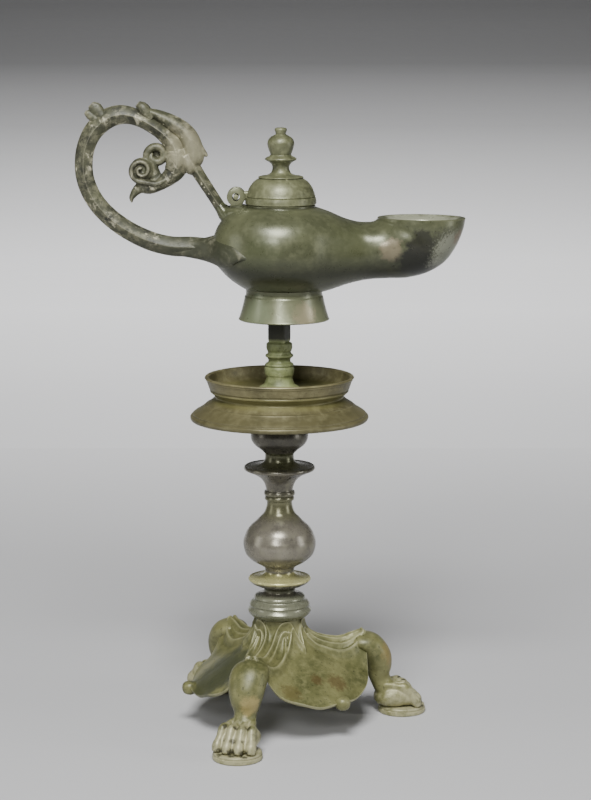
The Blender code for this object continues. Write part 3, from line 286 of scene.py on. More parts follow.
def patina_with_painted_shade(name, tones, crust=0.35, pits=0.3, wear_and_groove_shade=0.5, roughness=0.5, metallic=0.3,
                     cloud_mm=22.0, relief_mm=0.16, mottled=0.75, spots=(), bands=()):
    """Cast bronze under its patina. tones are dark, middle, light and crust hex colours.

    The grooves are darkened as painted shade. Each spot is (place in metres, radius in mm, hex colour,
    strength, grain in mm): a stain, a deposit or a patch of painted shade round one place on the object,
    with an edge broken up by noise. Each band is (low, high in mm above the floor, hex colour, strength,
    mm over which its edges fade): a tone, or painted shade, by height.
    """
    material = bpy.data.materials.new(name)
    material.use_nodes = True
    tree = material.node_tree
    shader = tree.nodes["Principled BSDF"]
    place = add(tree, "ShaderNodeTexCoord").outputs["Object"]
    dark, middle, light, pale = (linear(code) for code in tones)
    # a dark for the pits, and a dark for the painted shade in the grooves
    pit_colour, groove_shade_colour = ((*[share * v for v in dark[:3]], 1) for share in (0.35, 0.4))

    # broad clouds from the dark tone to the middle one, and a lighter mottle over them
    clouds = add(tree, "ShaderNodeTexNoise",
                 {"Scale": PER_METRE / cloud_mm, "Detail": 5.0, "Roughness": 0.6}, _0=place)
    share = ramp(add(tree, "ShaderNodeValToRGB", _0=clouds.outputs[0]), (0.36, 0.0), (0.66, 1.0))
    base = add(tree, "ShaderNodeMixRGB", {1: dark, 2: middle}, _0=share)
    mottle = add(tree, "ShaderNodeTexNoise",
                 {"Scale": PER_METRE / MOTTLE_MM, "Detail": 6.0, "Roughness": 0.65}, _0=place)
    share = ramp(add(tree, "ShaderNodeValToRGB", _0=mottle.outputs[0]), (0.46, 0.0), (0.72, mottled))
    base = add(tree, "ShaderNodeMixRGB", {2: light}, _0=share, _1=base.outputs[0])

    # pale crust: the more there is, the lower the noise from which it shows
    warped = add(tree, "ShaderNodeTexNoise",
                 {"Scale": PER_METRE / CRUST_MM, "Detail": 8.0, "Roughness": 0.72, "Distortion": 0.6},
                 _0=place)
    crusted = ramp(add(tree, "ShaderNodeValToRGB", _0=warped.outputs[0]), (0.66 - 0.2 * crust, 0.0),
                   (0.82 - 0.2 * crust, min(1.0, 2.2 * crust)))
    base = add(tree, "ShaderNodeMixRGB", {2: pale}, _0=crusted, _1=base.outputs[0])

    # dark pits
    cells = add(tree, "ShaderNodeTexNoise",
                {"Scale": PER_METRE / PIT_MM, "Detail": 3.0, "Roughness": 0.6}, _0=place)
    pitted = ramp(add(tree, "ShaderNodeValToRGB", _0=cells.outputs[0]), (0.60, 0.0), (0.74, pits))
    base = add(tree, "ShaderNodeMixRGB", {2: pit_colour}, _0=pitted, _1=base.outputs[0])

    # ridges rubbed pale by wear; grooves darkened as painted shade, by their curvature
    edges = add(tree, "ShaderNodeNewGeometry").outputs["Pointiness"]
    share = ramp(add(tree, "ShaderNodeValToRGB", _0=edges), (0.515, 0.0), (0.60, wear_and_groove_shade))
    base = add(tree, "ShaderNodeMixRGB", {2: pale}, _0=share, _1=base.outputs[0])
    painted_groove_shade = 0.85 * min(1.0, 1.6 * wear_and_groove_shade)
    share = ramp(add(tree, "ShaderNodeValToRGB", _0=edges), (0.40, painted_groove_shade), (0.49, 0.0))
    base = add(tree, "ShaderNodeMixRGB", {2: groove_shade_colour}, _0=share, _1=base.outputs[0])

    for centre, radius_mm, code, strength, grain_mm in spots:
        radius = radius_mm * MM
        distance = add(tree, "ShaderNodeVectorMath", {"operation": "DISTANCE", 1: tuple(centre)}, _0=place)
        grain = add(tree, "ShaderNodeTexNoise",
                    {"Scale": PER_METRE / grain_mm, "Detail": 5.0, "Roughness": 0.7}, _0=place)
        shift = add(tree, "ShaderNodeMath",
                    {"operation": "MULTIPLY_ADD", 1: 1.6 * radius, 2: -0.8 * radius}, _0=grain.outputs[0])
        broken = add(tree, "ShaderNodeMath", {"operation": "ADD"}, _0=distance.outputs["Value"],
                     _1=shift.outputs[0])
        share = add(tree, "ShaderNodeMapRange", {1: 1.15 * radius, 2: 0.75 * radius, 3: 0.0, 4: strength},
                    _0=broken.outputs[0])
        base = add(tree, "ShaderNodeMixRGB", {2: linear(code)}, _0=share.outputs[0], _1=base.outputs[0])

    height = add(tree, "ShaderNodeSeparateXYZ", _0=place).outputs[2]
    height = add(tree, "ShaderNodeMath", {"operation": "MULTIPLY_ADD", 1: 1.6 * MM}, _0=mottle.outputs[0],
                 _2=height)
    for low_mm, high_mm, code, strength, fade_mm in bands:
        rise = add(tree, "ShaderNodeMapRange", {1: (low_mm - 0.2) * MM, 2: (low_mm + fade_mm) * MM},
                   _0=height.outputs[0])
        fall = add(tree, "ShaderNodeMapRange",
                   {1: (high_mm + fade_mm) * MM, 2: high_mm * MM, 3: 0.0, 4: strength},
                   _0=height.outputs[0])
        share = add(tree, "ShaderNodeMath", {"operation": "MULTIPLY"}, _0=rise.outputs[0],
                    _1=fall.outputs[0])
        base = add(tree, "ShaderNodeMixRGB", {2: linear(code)}, _0=share.outputs[0], _1=base.outputs[0])
    tree.links.new(base.outputs[0], shader.inputs["Base Color"])

    # crust is dull and bare of metal
    dull = add(tree, "ShaderNodeMath", {"operation": "MULTIPLY_ADD", 1: 0.28, 2: roughness - 0.10},
               _0=mottle.outputs[0])
    dull = add(tree, "ShaderNodeMath", {"operation": "MULTIPLY_ADD", 1: 0.22, "use_clamp": True},
               _0=crusted, _2=dull.outputs[0])
    tree.links.new(dull.outputs[0], shader.inputs["Roughness"])
    metal = add(tree, "ShaderNodeMath",
                {"operation": "MULTIPLY_ADD", 1: -metallic, 2: metallic, "use_clamp": True}, _0=crusted)
    tree.links.new(metal.outputs[0], shader.inputs["Metallic"])

    # fine relief: mottle and crust stand up, pits go down
    relief = add(tree, "ShaderNodeMath", {"operation": "MULTIPLY_ADD", 1: 0.5}, _0=mottle.outputs[0],
                 _2=warped.outputs[0])
    relief = add(tree, "ShaderNodeMath", {"operation": "MULTIPLY_ADD", 1: -0.9}, _0=pitted,
                 _2=relief.outputs[0])
    bump = add(tree, "ShaderNodeBump", {"Strength": 0.55, "Distance": relief_mm * MM})
    tree.links.new(relief.outputs[0], bump.inputs["Height"])
    tree.links.new(bump.outputs[0], shader.inputs["Normal"])
    return material


# %% Finishes
def at_lamp(x, y, z):
    """A place on the lamp: millimetres from the seat, with y towards the back."""
    return LAMP_ORIGIN + np.array([x, y, z]) * MM


# stains, soot and crust of the nozzle, and clouds on bowl and foot
LAMP_SPOTS = (
    (at_lamp(66, -20, 30), 7.0, "#a4927a", 0.35, 6.0),
    (at_lamp(40, -22, 30), 14.0, "#4f5338", 0.45, 8.0),
    (at_lamp(-12, -38, 26), 12.0, "#4c5238", 0.4, 7.0),
    (at_lamp(-14, -20, -7), 10.0, "#5a6b52", 0.55, 5.0),
    (at_lamp(14, -21, -9), 8.0, "#a98f76", 0.5, 3.5),
    (at_lamp(8, -24, -4), 6.0, "#5b5c42", 0.5, 2.0),
    (at_lamp(98, -19, 30), 12.0, "#3a3b30", 0.75, 2.2),
    (at_lamp(80, -21, 22), 12.0, "#1d1d18", 0.95, 6.0),
    (at_lamp(86, -18, 12), 12.0, "#1d1d18", 0.95, 9.0),
    (at_lamp(84, -22, 34), 8.0, "#2b2b23", 0.85, 4.0),
    (at_lamp(103, -14, 26), 14.0, "#999b89", 0.6, 1.2),
    (at_lamp(95, -18, 16), 9.0, "#b9bba9", 0.75, 1.0),
    (at_lamp(106, -9, 36), 5.0, "#6d5138", 0.5, 2.0),
    (at_lamp(83, 6, 44), 20.0, "#b6b8a0", 0.8, 8.0),
)
LAMP_BANDS = (
    # painted shade: the first band darkens the bowl's lower half above the seat, fading upwards
    (SEAT_MM + 3.0, SEAT_MM + 16, "#191b11", 0.84, 15.0),
    (SEAT_MM - 14, SEAT_MM + 2.6, "#8c9072", 0.45, 0.8),
    (315.3, 316.4, "#2c2d20", 0.7, 0.8),
)
LAMP_TONES = ("#4a4d38", "#63664b", "#737559", "#939476")
lamp_bronze = patina_with_painted_shade("olive patinated bronze", LAMP_TONES, crust=0.06, pits=0.4, wear_and_groove_shade=0.35,
                               roughness=0.27, metallic=0.3, mottled=0.45, cloud_mm=38.0, relief_mm=0.07,
                               spots=LAMP_SPOTS, bands=LAMP_BANDS)

HANDLE_TONES = ("#292a20", "#50513c", "#86846b", "#cac5a9")
HANDLE_SPOTS = (
    (at_lamp(-54, 0, 88), 15.0, "#9f9a7e", 0.5, 5.0),
    (at_lamp(-46, -12, 28), 30.0, "#3c3e2e", 0.7, 6.0),
    (at_lamp(-28, -27, 27), 15.0, "#3a3d2b", 0.7, 5.0),
)
handle_bronze = patina_with_painted_shade("crusted handle bronze", HANDLE_TONES, crust=0.55, pits=0.95, wear_and_groove_shade=0.95,
                                 roughness=0.46, metallic=0.2, cloud_mm=13.0, relief_mm=0.25,
                                 spots=HANDLE_SPOTS)

LID_TONES = ("#50523a", "#717355", "#888a69", "#aaac8a")
lid_bronze = patina_with_painted_shade("grey-green turned bronze", LID_TONES, crust=0.2, pits=0.6, wear_and_groove_shade=0.6,
                              roughness=0.38, metallic=0.25, relief_mm=0.14)

PRICKET_TONES = ("#4c5230", "#7f8759", "#979e71", "#b5bb92")
# the first band is painted shade on the bar under the lamp's foot, over bronze that is darker there too;
# the second is a paler tone
PRICKET_BANDS = ((236, 300, "#1d1c12", 0.95, 1.6), (204, 209, "#868b5c", 0.5, 1.6))
pricket_bronze = patina_with_painted_shade("pale green crusted bronze", PRICKET_TONES, crust=0.4, pits=0.6, wear_and_groove_shade=0.7,
                                  roughness=0.5, metallic=0.1, cloud_mm=12.0, bands=PRICKET_BANDS)

PAN_TONES = ("#4f4b31", "#736d4c", "#87825f", "#9f9b7a")
PAN_BANDS = ((199, 206, "#6a683a", 0.5, 1.6), (187, 196, "#575338", 0.5, 3.0))
pan_bronze = patina_with_painted_shade("olive-brown turned bronze", PAN_TONES, crust=0.15, pits=0.5, wear_and_groove_shade=0.55,
                              roughness=0.4, metallic=0.3, bands=PAN_BANDS)

SHAFT_TONES = ("#5b584f", "#837e71", "#908d76", "#acab8f")
SHAFT_BANDS = (
    (64, 80.6, "#7f826c", 0.75, 1.0),
    (81.5, 86, "#3c3f23", 0.7, 1.6),
    (89.0, 94, "#c2be84", 0.9, 1.2),
    (126, 139, "#73744a", 0.55, 6.0),
    (159.3, 168, "#4d5129", 0.6, 1.2),
    (169, 187, "#34332c", 0.55, 2.0),
)
shaft_bronze = patina_with_painted_shade("dark polished bronze", SHAFT_TONES, crust=0.08, pits=0.35, wear_and_groove_shade=0.75,
                                roughness=0.24, metallic=0.45, mottled=0.5, bands=SHAFT_BANDS)


# %% Finish of the base
def at_base(x, y, z):
    """A place on the stand: millimetres from its axis and the floor."""
    return AXIS + np.array([x, y, z]) * MM


def at_leg(leg, reach, height, aside=0.0):
    """A place at a leg: reach and height in millimetres, and an angle aside of its middle."""
    return at_base(reach * math.cos(leg + aside), reach * math.sin(leg + aside), height)


TOE_GAP = 0.084  # the angle between two gaps of the toes, seen from the stand's axis
BASE_TONES = ("#50522f", "#7a794e", "#918f62", "#cccaa0")
# places of the dark spots painted as shade in the gaps between the toes
TOE_GAP_SHADE_PLACES = ((79.5, 19.5, 2.0), (86.0, 13.5, 2.3), (89.0, 6.5, 2.8))  # reach, height, radius
base_spots = [(at_leg(leg, 80, 4.0), 18.0, "#b4b08c", 0.7, 5.0) for leg in LEGS]
# painted shade: dark spots along each gap between the toes
for leg in LEGS:
    for gap in (-TOE_GAP, 0.0, TOE_GAP):
        base_spots += [(at_leg(leg, reach, rise, gap), size, "#2b291c", 0.85, 1.6)
                       for reach, rise, size in TOE_GAP_SHADE_PLACES]
base_spots += [
    (at_base(24, -34, 38), 6.0, "#4f3a1c", 0.6, 2.2),
    (at_base(36, -28, 34), 7.0, "#4f3a1c", 0.6, 2.2),
    # painted shade over the left panel of the apron
    (at_base(-38, -18, 38), 24.0, "#2d3424", 0.72, 7.0),
    (at_base(-16, -70, 29), 7.0, "#b8a56c", 0.5, 4.0),
    (at_base(70, 10, 40), 9.0, "#8f7a45", 0.5, 3.0),
    (at_base(8, -50, 34), 7.0, "#54471f", 0.5, 2.5),
]
base_bronze = patina_with_painted_shade("green cast bronze", BASE_TONES, crust=0.1, pits=0.9, wear_and_groove_shade=0.7,
                               roughness=0.4, metallic=0.2, relief_mm=0.16, mottled=0.5, spots=base_spots)
print(len(bpy.data.materials), "materials")

# %% [markdown]
# ## The turned shaft
#
# The shaft is a baluster: a collar, a thin flange, a pear, a ring, a wide flange and a bulb, with
# tight necks between. It was finished on a lathe, which gives crisp arrises and an even gloss. It is
# one profile spun round, drawn as strokes, so that every arris stays sharp and every bulge smooth.

# %% Shaft
SHAFT_TOP = shaft_high.z / MM
SHAFT_PROFILE = strokes(
    [(0, 66.3), (16.3, 66.3)],
    [(17.4, 67.2), (18.7, 68.6), (19.3, 70.4)],
    [(18.2, 71.8)],
    [(17.9, 72.8), (18.4, 73.8)],
    [(17.4, 75.2), (15.8, 76.0)],
    [(15.0, 76.9), (15.4, 77.8), (14.8, 79.2), (12.6, 80.2)],
    [(10.4, 80.6)],
    [(9.5, 81.6), (9.5, 83.2), (10.2, 84.2)],
    [(13.6, 85.4), (16.6, 86.8), (18.3, 88.2)],
    [(18.9, 88.9), (18.9, 89.8), (18.3, 90.4)],
    [(17.6, 90.1)],
    [(14.0, 90.6), (11.0, 91.5), (9.4, 92.8), (8.8, 94.6), (9.2, 96.8)],
    [(12.4, 98.7), (15.2, 100.2), (18.2, 102.5), (20.3, 104.9), (21.3, 107.4), (21.9, 110.6), (21.8, 113.4),
     (21.2, 115.5), (19.7, 119.2), (17.3, 122.3), (14.5, 124.8), (12.1, 127.3), (9.7, 129.8), (8.5, 132.2),
     (7.7, 135.2), (7.6, 138.0)],
    [(8.6, 138.3), (8.9, 139.3), (8.6, 140.3)],
    [(8.2, 140.8)],
    [(9.0, 141.2), (9.4, 142.4), (9.0, 143.6)],
    [(8.1, 144.1), (8.3, 146.0), (9.7, 149.5), (11.8, 152.0), (15.1, 154.2), (18.7, 155.8)],
    [(20.9, 156.8), (21.4, 157.7), (21.2, 158.7), (20.6, 159.2)],
    [(19.8, 158.9)],
    [(15.4, 159.4), (11.8, 160.2), (9.6, 161.6), (8.7, 164.0), (8.7, 166.4), (9.5, 167.6)],
    [(11.7, 169.6), (14.8, 172.0), (16.6, 174.5), (17.3, 177.2), (17.1, 180.0), (16.0, 182.6),
     (13.8, 184.8), (11.4, 186.2)],
    [(11.0, SHAFT_TOP)],
    [(0, SHAFT_TOP)],
)
dress(turned("shaft_skin", SHAFT_PROFILE), shaft_bronze, node="baluster_shaft")
print("shaft from", SHAFT_PROFILE[:, 1].min(), "to", SHAFT_PROFILE[:, 1].max(), "mm")

# %% [markdown]
# ## Pan and pricket
#
# The pan is a shallow dish over a flared skirt, hollow below, with mouldings under its rim, at the
# foot of its wall and along the skirt's edge. The pricket rises from its middle: a turned foot and
# knob, then a square bar turned a little away from the viewer. The bar's section is a superellipse
# with a high power, which gives flat faces and worn corners.

# %% Drip pan
PAN_PROFILE = strokes(
    [(0, 205.0), (36.3, 205.0)],
    [(39.4, 206.0), (41.3, 208.4), (42.0, 211.0), (42.3, 213.2)],
    [(43.2, 213.8), (44.3, 213.7), (44.8, 213.0)],
    [(44.2, 212.4), (44.0, 211.6)],
    [(43.6, 211.2), (42.9, 209.2), (42.1, 206.8)],
    [(41.4, 206.2), (41.6, 205.6), (41.5, 204.8), (40.6, 204.2)],
    [(39.9, 203.4)],
    [(38.7, 202.2), (38.6, 201.2), (39.6, 200.2)],
    [(41.1, 199.0), (43.5, 197.2)],
    [(44.3, 197.0), (44.9, 196.4)],
    [(47.7, 194.3), (50.5, 192.6), (51.9, 191.6)],
    [(51.9, 190.9), (52.5, 190.7)],
    [(53.3, 190.0), (53.5, 188.9), (53.0, 187.8)],
    [(52.4, 187.6), (50.2, 188.2)],
    [(45.5, 192.0), (41.0, 195.9), (37.5, 199.4), (35.8, 201.9)],
    [(0, 201.9)],
)
dress(turned("pan_skin", PAN_PROFILE, around=160), pan_bronze, node="drip_pan")
print("pan", 2 * PAN_PROFILE[:, 0].max(), "mm wide")

# %% Pricket
BAR_TURN = math.radians(-22)
PRICKET_PROFILE = strokes(
    [(0, 205.3), (12.2, 205.3)],
    [(12.4, 206.2), (11.9, 207.2)],
    [(9.6, 208.6), (8.5, 210.6), (8.0, 212.5), (8.1, 213.8)],
    [(8.7, 215.0), (8.9, 217.0), (8.8, 218.8), (8.2, 219.8)],
    [(8.6, 220.6), (8.2, 221.4)],
    [(7.0, 222.2), (6.6, 223.4), (7.0, 224.8)],
    [(8.2, 225.6), (8.3, 226.6), (7.3, 227.3)],
    [(6.9, 228.2), (7.1, 228.9)],
    [(7.6, 230.0), (7.8, 231.8), (7.6, 233.4), (6.9, 234.0)],
    [(0, 234.3)],
)
pricket = turned("pricket_skin", PRICKET_PROFILE, around=96)
dress(pricket, pricket_bronze, node="pricket")


def upright_bar(name, rows, power, turn):
    """Stacks superellipse sections of (height, half side) in millimetres about the stand's axis."""
    height, half = smooth(rows, 1).T[..., None] * MM
    a, b = rounded(full_turn(96), power)
    across, along = a * math.cos(turn) - b * math.sin(turn), a * math.sin(turn) + b * math.cos(turn)
    grid = points(AXIS[0] + half * across, AXIS[1] + half * along, height)
    return mesh_piece(name, capped(grid))


NEARLY_SQUARE = 12.0
BARS = {
    "square_bar": [(232.6, 3.6), (233.6, 4.6), (235.0, 5.25), (236.5, 5.4), (SEAT_MM - 1.2, 5.4),
                   (SEAT_MM - 0.3, 5.1)],
    "square_spike": [(SEAT_MM - 2, 4.0), (SEAT_MM + 8, 3.1), (SEAT_MM + 16, 2.2), (SEAT_MM + 16.9, 1.6)],
}
for name, rows in BARS.items():
    dress(upright_bar(name, rows, NEARLY_SQUARE, BAR_TURN), pricket_bronze)
print("bar", 2 * BARS["square_bar"][3][1], "mm square")

# %% [markdown]
# ## The lamp's body
#
# The bowl and nozzle are one skin. Upright sections cross the bowl, then fan round until the last
# lies flat in the mouth, as if the nozzle were a pipe that bends upwards. The same sections, drawn in
# by the wall's thickness and run backwards, make the hollow, so one closed surface is both the
# outside and the inside of the casting. The filling hole is cut through it under the lid.

# %% Sections of the lamp
WALL = 2.6
BOWL, TALL, WIDE = 39.3, 55.3, 39.0
MOUTH_START, MOUTH_END = 58.2, 110.4
RIM, FLARE, WAIST = 47.4, 23.0, 19.8
MOUTH = MOUTH_END - MOUTH_START


def section_rows(inset):
    """Rows of (top x, top z, low x, low z, half width) in millimetres, drawn in by inset."""
    rows = np.array([
        (-BOWL, 0.560 * TALL, -BOWL, 0.520 * TALL, 0.05 * WIDE),
        (-0.965 * BOWL, 0.700 * TALL, -0.965 * BOWL, 0.375 * TALL, 0.32 * WIDE),
        (-0.855 * BOWL, 0.832 * TALL, -0.855 * BOWL, 0.270 * TALL, 0.55 * WIDE),
        (-0.690 * BOWL, 0.925 * TALL, -0.690 * BOWL, 0.165 * TALL, 0.735 * WIDE),
        (-0.410 * BOWL, 0.985 * TALL, -0.410 * BOWL, 0.055 * TALL, 0.915 * WIDE),
        (0.0, TALL, 0.0, 0.0, WIDE),
        (0.410 * BOWL, 0.985 * TALL, 0.410 * BOWL, 0.018 * TALL, 0.925 * WIDE),
        (0.715 * BOWL, 0.925 * TALL, 0.725 * BOWL, 0.070 * TALL, 0.755 * WIDE),
        (0.970 * BOWL, 0.848 * TALL, 40.7, 0.142 * TALL, 0.4 * WIDE + 0.42 * WAIST),
        (MOUTH_START - 12.0, RIM - 2.7, MOUTH_START - 6.0, 0.188 * TALL, 1.02 * WAIST),
        (MOUTH_START - 6.6, RIM - 3.0, MOUTH_START + 0.12 * MOUTH, 0.202 * TALL, WAIST),
        (MOUTH_START - 3.6, RIM - 2.8, MOUTH_START + 0.34 * MOUTH, 0.210 * TALL, 0.8 * WAIST + 0.2 * FLARE),
        (MOUTH_START - 1.6, RIM - 2.2, MOUTH_START + 0.57 * MOUTH, 0.266 * TALL,
         0.45 * WAIST + 0.55 * FLARE),
        (MOUTH_START - 0.4, RIM - 1.4, MOUTH_START + 0.765 * MOUTH, 0.38 * TALL, 0.2 * WAIST + 0.8 * FLARE),
        (MOUTH_START, RIM - 0.8, MOUTH_START + 0.895 * MOUTH, 0.548 * TALL, 0.97 * FLARE),
        (MOUTH_START, RIM - 0.4, MOUTH_START + 0.972 * MOUTH, 0.725 * TALL, 0.995 * FLARE),
        (MOUTH_START + 0.1, RIM - 0.1, MOUTH_END - 0.1, RIM - 0.8, FLARE - 0.1),
    ])
    if inset:
        rows = rows[1:-2]
        across = rows[:, 2:4] - rows[:, 0:2]
        across /= np.linalg.norm(across, axis=1, keepdims=True)
        rows[:, 0:2] += across * inset
        rows[:, 2:4] -= across * inset
        rows[:, 4] -= inset
        rows[0, [0, 2]] += 1.9 * inset
    return smooth(rows, 8)


def section_rings(rows, around=144):
    """Ellipses between each row's top and low point, a little fuller above where they stand upright."""
    top, low = points(rows[:, 0], 0.0, rows[:, 1]), points(rows[:, 2], 0.0, rows[:, 3])
    middle, reach = (top + low) / 2, (top - low) / 2
    upright = np.abs(reach[:, 2] / np.linalg.norm(reach, axis=1)) ** 6
    power = (2.0 / (2.0 + 0.6 * upright))[:, None]
    turns = full_turn(around)
    up, side = np.cos(turns)[None], np.sin(turns)[None]
    full_up = np.where(up > 0, np.abs(up) ** power, up)
    full_side = np.where(up > 0, np.sign(side) * np.abs(side) ** power, side)
    grid = middle[:, None] + reach[:, None] * full_up[..., None]
    grid[..., 1] += rows[:, 4:5] * full_side
    return grid


rim_rows = np.array([
    (MOUTH_START + 0.5, RIM + 0.1, MOUTH_END - 0.5, RIM - 0.3, FLARE - 0.5),
    (MOUTH_START + 1.8, RIM, MOUTH_END - 1.8, RIM - 0.4, FLARE - 1.8),
    (MOUTH_START + 3.4, RIM - 0.8, MOUTH_END - 3.2, RIM - 1.1, FLARE - 3.2),
    (MOUTH_START + 8.2, RIM - 2.2, MOUTH_END - 9.6, RIM - 2.6, FLARE - 8.6),
    (MOUTH_START + 9.4, RIM - 3.2, MOUTH_END - 10.8, RIM - 3.6, FLARE - 9.6),
    (MOUTH_START + 9.6, RIM - 4.6, MOUTH_END - 10.6, RIM - 5.0, FLARE - 9.6),
])
outer = section_rings(section_rows(0.0))
rim = section_rings(smooth(rim_rows, 4))
inner = section_rings(section_rows(WALL))[::-1]
skin = np.concatenate([outer, rim, inner]) * MM + LAMP_ORIGIN
lamp_skin = mesh_piece("lamp_skin", capped(skin))
print("lamp skin", len(lamp_skin.data.polygons), "faces")

# %% Filling hole
LID_X, SEAT_TOP, HOLE_RADIUS = 1.0, 54.9, 16.0
LID_CENTRE = LAMP_ORIGIN + np.array([LID_X * MM, 0.0, 0.0])
HOLE_LOW, HOLE_HIGH = SEAT_MM + 40, SEAT_MM + 60
hole_profile = [(0, HOLE_LOW), (HOLE_RADIUS, HOLE_LOW), (HOLE_RADIUS, HOLE_HIGH), (0, HOLE_HIGH)]
cutter = turned("hole_cutter", hole_profile, LID_CENTRE, 96)
cut = lamp_skin.modifiers.new("filling hole", "BOOLEAN")
cut.operation = "DIFFERENCE"
cut.solver = "EXACT"
cut.object = cutter
evaluated(lamp_skin)
bpy.data.objects.remove(cutter)
lamp_skin.data.set_sharp_from_angle(angle=CREASE)
dress(lamp_skin, lamp_bronze, node="lamp_body")
print("lamp skin after the cut", len(lamp_skin.data.polygons), "faces")

# %% [markdown]
# ## Foot, seat and ears
#
# The flared foot is open below, so that the pricket's bar can reach the floor of the bowl. A low
# ring round the filling hole seats the lid, and two ears behind it hold the hinge pin.

# %% Foot and seat
FOOT_X = 2.8
foot_z = body_low.z / MM
FOOT_PROFILE = strokes(
    [(19.6, foot_z + 19), (22.9, foot_z + 18.4)],
    [(22.7, foot_z + 16.4), (22.9, foot_z + 14.6)],
    [(23.3, foot_z + 14.2)],
    [(23.9, foot_z + 11.4), (24.7, foot_z + 8.0), (25.8, foot_z + 4.0), (26.8, foot_z + 1.0)],
    [(27.1, foot_z + 0.5), (26.6, foot_z)],
    [(24.8, foot_z)],
    [(23.2, foot_z + 5), (22.0, foot_z + 9), (20.9, foot_z + 13.4)],
    [(19.6, foot_z + 19)],
)
FOOT_CENTRE = LAMP_ORIGIN + np.array([FOOT_X * MM, 0, 0])
dress(turned("foot_skin", FOOT_PROFILE, FOOT_CENTRE, 144), lamp_bronze)

SEAT_PROFILE = strokes(
    [(HOLE_RADIUS, SEAT_MM + 47), (HOLE_RADIUS, SEAT_MM + SEAT_TOP - 0.4)],
    [(HOLE_RADIUS + 0.4, SEAT_MM + SEAT_TOP)],
    [(20.1, SEAT_MM + SEAT_TOP)],
    [(20.6, SEAT_MM + SEAT_TOP - 0.5)],
    [(20.7, SEAT_MM + 53.2), (21.8, SEAT_MM + 52.2), (23.6, SEAT_MM + 51.0)],
    [(23.0, SEAT_MM + 49.0)],
    [(HOLE_RADIUS, SEAT_MM + 47)],
)
dress(turned("lid_seat", SEAT_PROFILE, LID_CENTRE), lamp_bronze)
print("foot", 2 * FOOT_PROFILE[:, 0].max(), "mm wide")

# %% Hinge ears and pin
pin_low, pin_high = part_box("hinge_pin")
HINGE = np.array([(pin_low.x + pin_high.x) / 2, AXIS[1], (pin_low.z + pin_high.z) / 2])
HINGE_X, _, HINGE_Z = (HINGE - LAMP_ORIGIN) / MM


def round_plate(name, hole, radius, middle, width, edge=0.5):
    """A ring about the hinge's axis, which lies along Y: a rectangle with eased corners spun round."""
    half = width / 2
    profile = np.array([
        (hole, -half), (hole, half), (radius - edge, half), (radius - 0.3 * edge, half - 0.3 * edge),
        (radius, half - edge), (radius, edge - half), (radius - 0.3 * edge, 0.3 * edge - half),
        (radius - edge, -half), (hole, -half),
    ]) * MM
    turns = full_turn(64)
    reach, along = profile.T[..., None]
    return mesh_piece(name, points(HINGE[0] + reach * np.cos(turns), HINGE[1] + middle * MM + along,
                                   HINGE[2] + reach * np.sin(turns)))


def by_hinge(*steps):
    """A path given as steps (x, z) in millimetres from the hinge's axis."""
    return [(HINGE_X + x, HINGE_Z + z) for x, z in steps]


PIN_HOLE, EAR_RADIUS, EAR_WIDTH, TONGUE_WIDTH = 2.3, 5.4, 3.0, 6.0
for side, name in ((-1, "front"), (1, "back")):
    place = side * (TONGUE_WIDTH / 2 + 0.3 + EAR_WIDTH / 2)
    ear = round_plate(f"hinge_ear_{name}", PIN_HOLE, EAR_RADIUS, place, EAR_WIDTH)
    dress(ear, lamp_bronze)
    stem = by_hinge((0.4, -2.4), (0.2, -7.0), (0.0, -11.6))
    halves = [(3.4, EAR_WIDTH / 2 - 0.05), (3.9, EAR_WIDTH / 2 + 0.1), (5.2, EAR_WIDTH / 2 + 0.8)]
    dress(carried(f"ear_stem_{name}", stem, halves, power=6.0, offset=place), lamp_bronze)

pin_half = (pin_high.y - pin_low.y) / 2 / MM
pin = round_plate("pin_rod", 0.0, (pin_high.z - pin_low.z) / 2 / MM, 0.0, 2 * pin_half - 0.02, 0.25)
dress(pin, lid_bronze, node="hinge_pin")

# %% [markdown]
# ## The lid
#
# The lid is turned: a band with one engraved groove, a low dome and a finial of disc, bulb and
# button. It is a shell of even wall below the finial. Its tongue reaches back between the two ears.

# %% Lid
lid_low, lid_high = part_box("lamp_lid")
lid_z, top_z = lid_low.z / MM, lid_high.z / MM
LID_PROFILE = strokes(
    [(0, top_z - 0.1), (2.6, top_z - 0.3)],
    [(3.5, top_z - 0.9), (3.6, top_z - 1.8), (3.2, top_z - 3.0)],
    [(3.0, 357.6)],
    [(4.4, 356.9), (6.0, 356.0), (7.2, 354.7), (7.9, 352.9), (7.8, 351.0), (7.2, 348.8), (6.5, 346.8),
     (6.1, 345.7)],
    [(6.8, 344.9), (8.2, 344.3), (9.2, 343.6)],
    [(9.4, 343.0), (9.0, 342.4)],
    [(7.4, 341.6), (6.0, 340.6), (5.2, 339.2), (5.0, 337.6), (5.5, 335.8), (6.6, 334.5), (9.0, 333.6)],
    [(11.6, 333.3)],
    [(13.1, 332.8), (13.4, 332.3), (12.9, 331.9)],
    [(13.9, 331.4)],
    [(15.6, 330.2), (17.2, 328.5), (18.6, 326.4), (19.6, 324.0), (20.2, 322.0), (20.5, 321.3)],
    [(20.1, 320.9)],
    [(20.7, 320.5)],
    [(21.0, 318.8), (21.1, lid_z + 0.5)],
    [(20.8, lid_z)],
    [(17.9, lid_z)],
    [(17.9, lid_z + 4.6)],
    [(16.6, lid_z + 8.6), (13.6, lid_z + 11.6), (7.5, lid_z + 13.7), (0, lid_z + 14.4)],
)
lid = turned("lid_skin", LID_PROFILE, LID_CENTRE, 144)
dress(lid, lid_bronze, body="lid", node="lamp_lid")

eye = round_plate("lid_tongue_eye", PIN_HOLE, 4.3, 0.0, TONGUE_WIDTH)
dress(eye, lid_bronze, body="lid")
link = carried("lid_tongue_link", by_hinge((2.6, 0.4), (4.6, 0.4), (7.4, 0.2)),
               [(2.2, 2.9), (2.6, 2.9), (3.0, 2.9)], power=6.0)
dress(link, lid_bronze, body="lid")
print("lid", round(top_z - lid_z, 1), "mm tall")
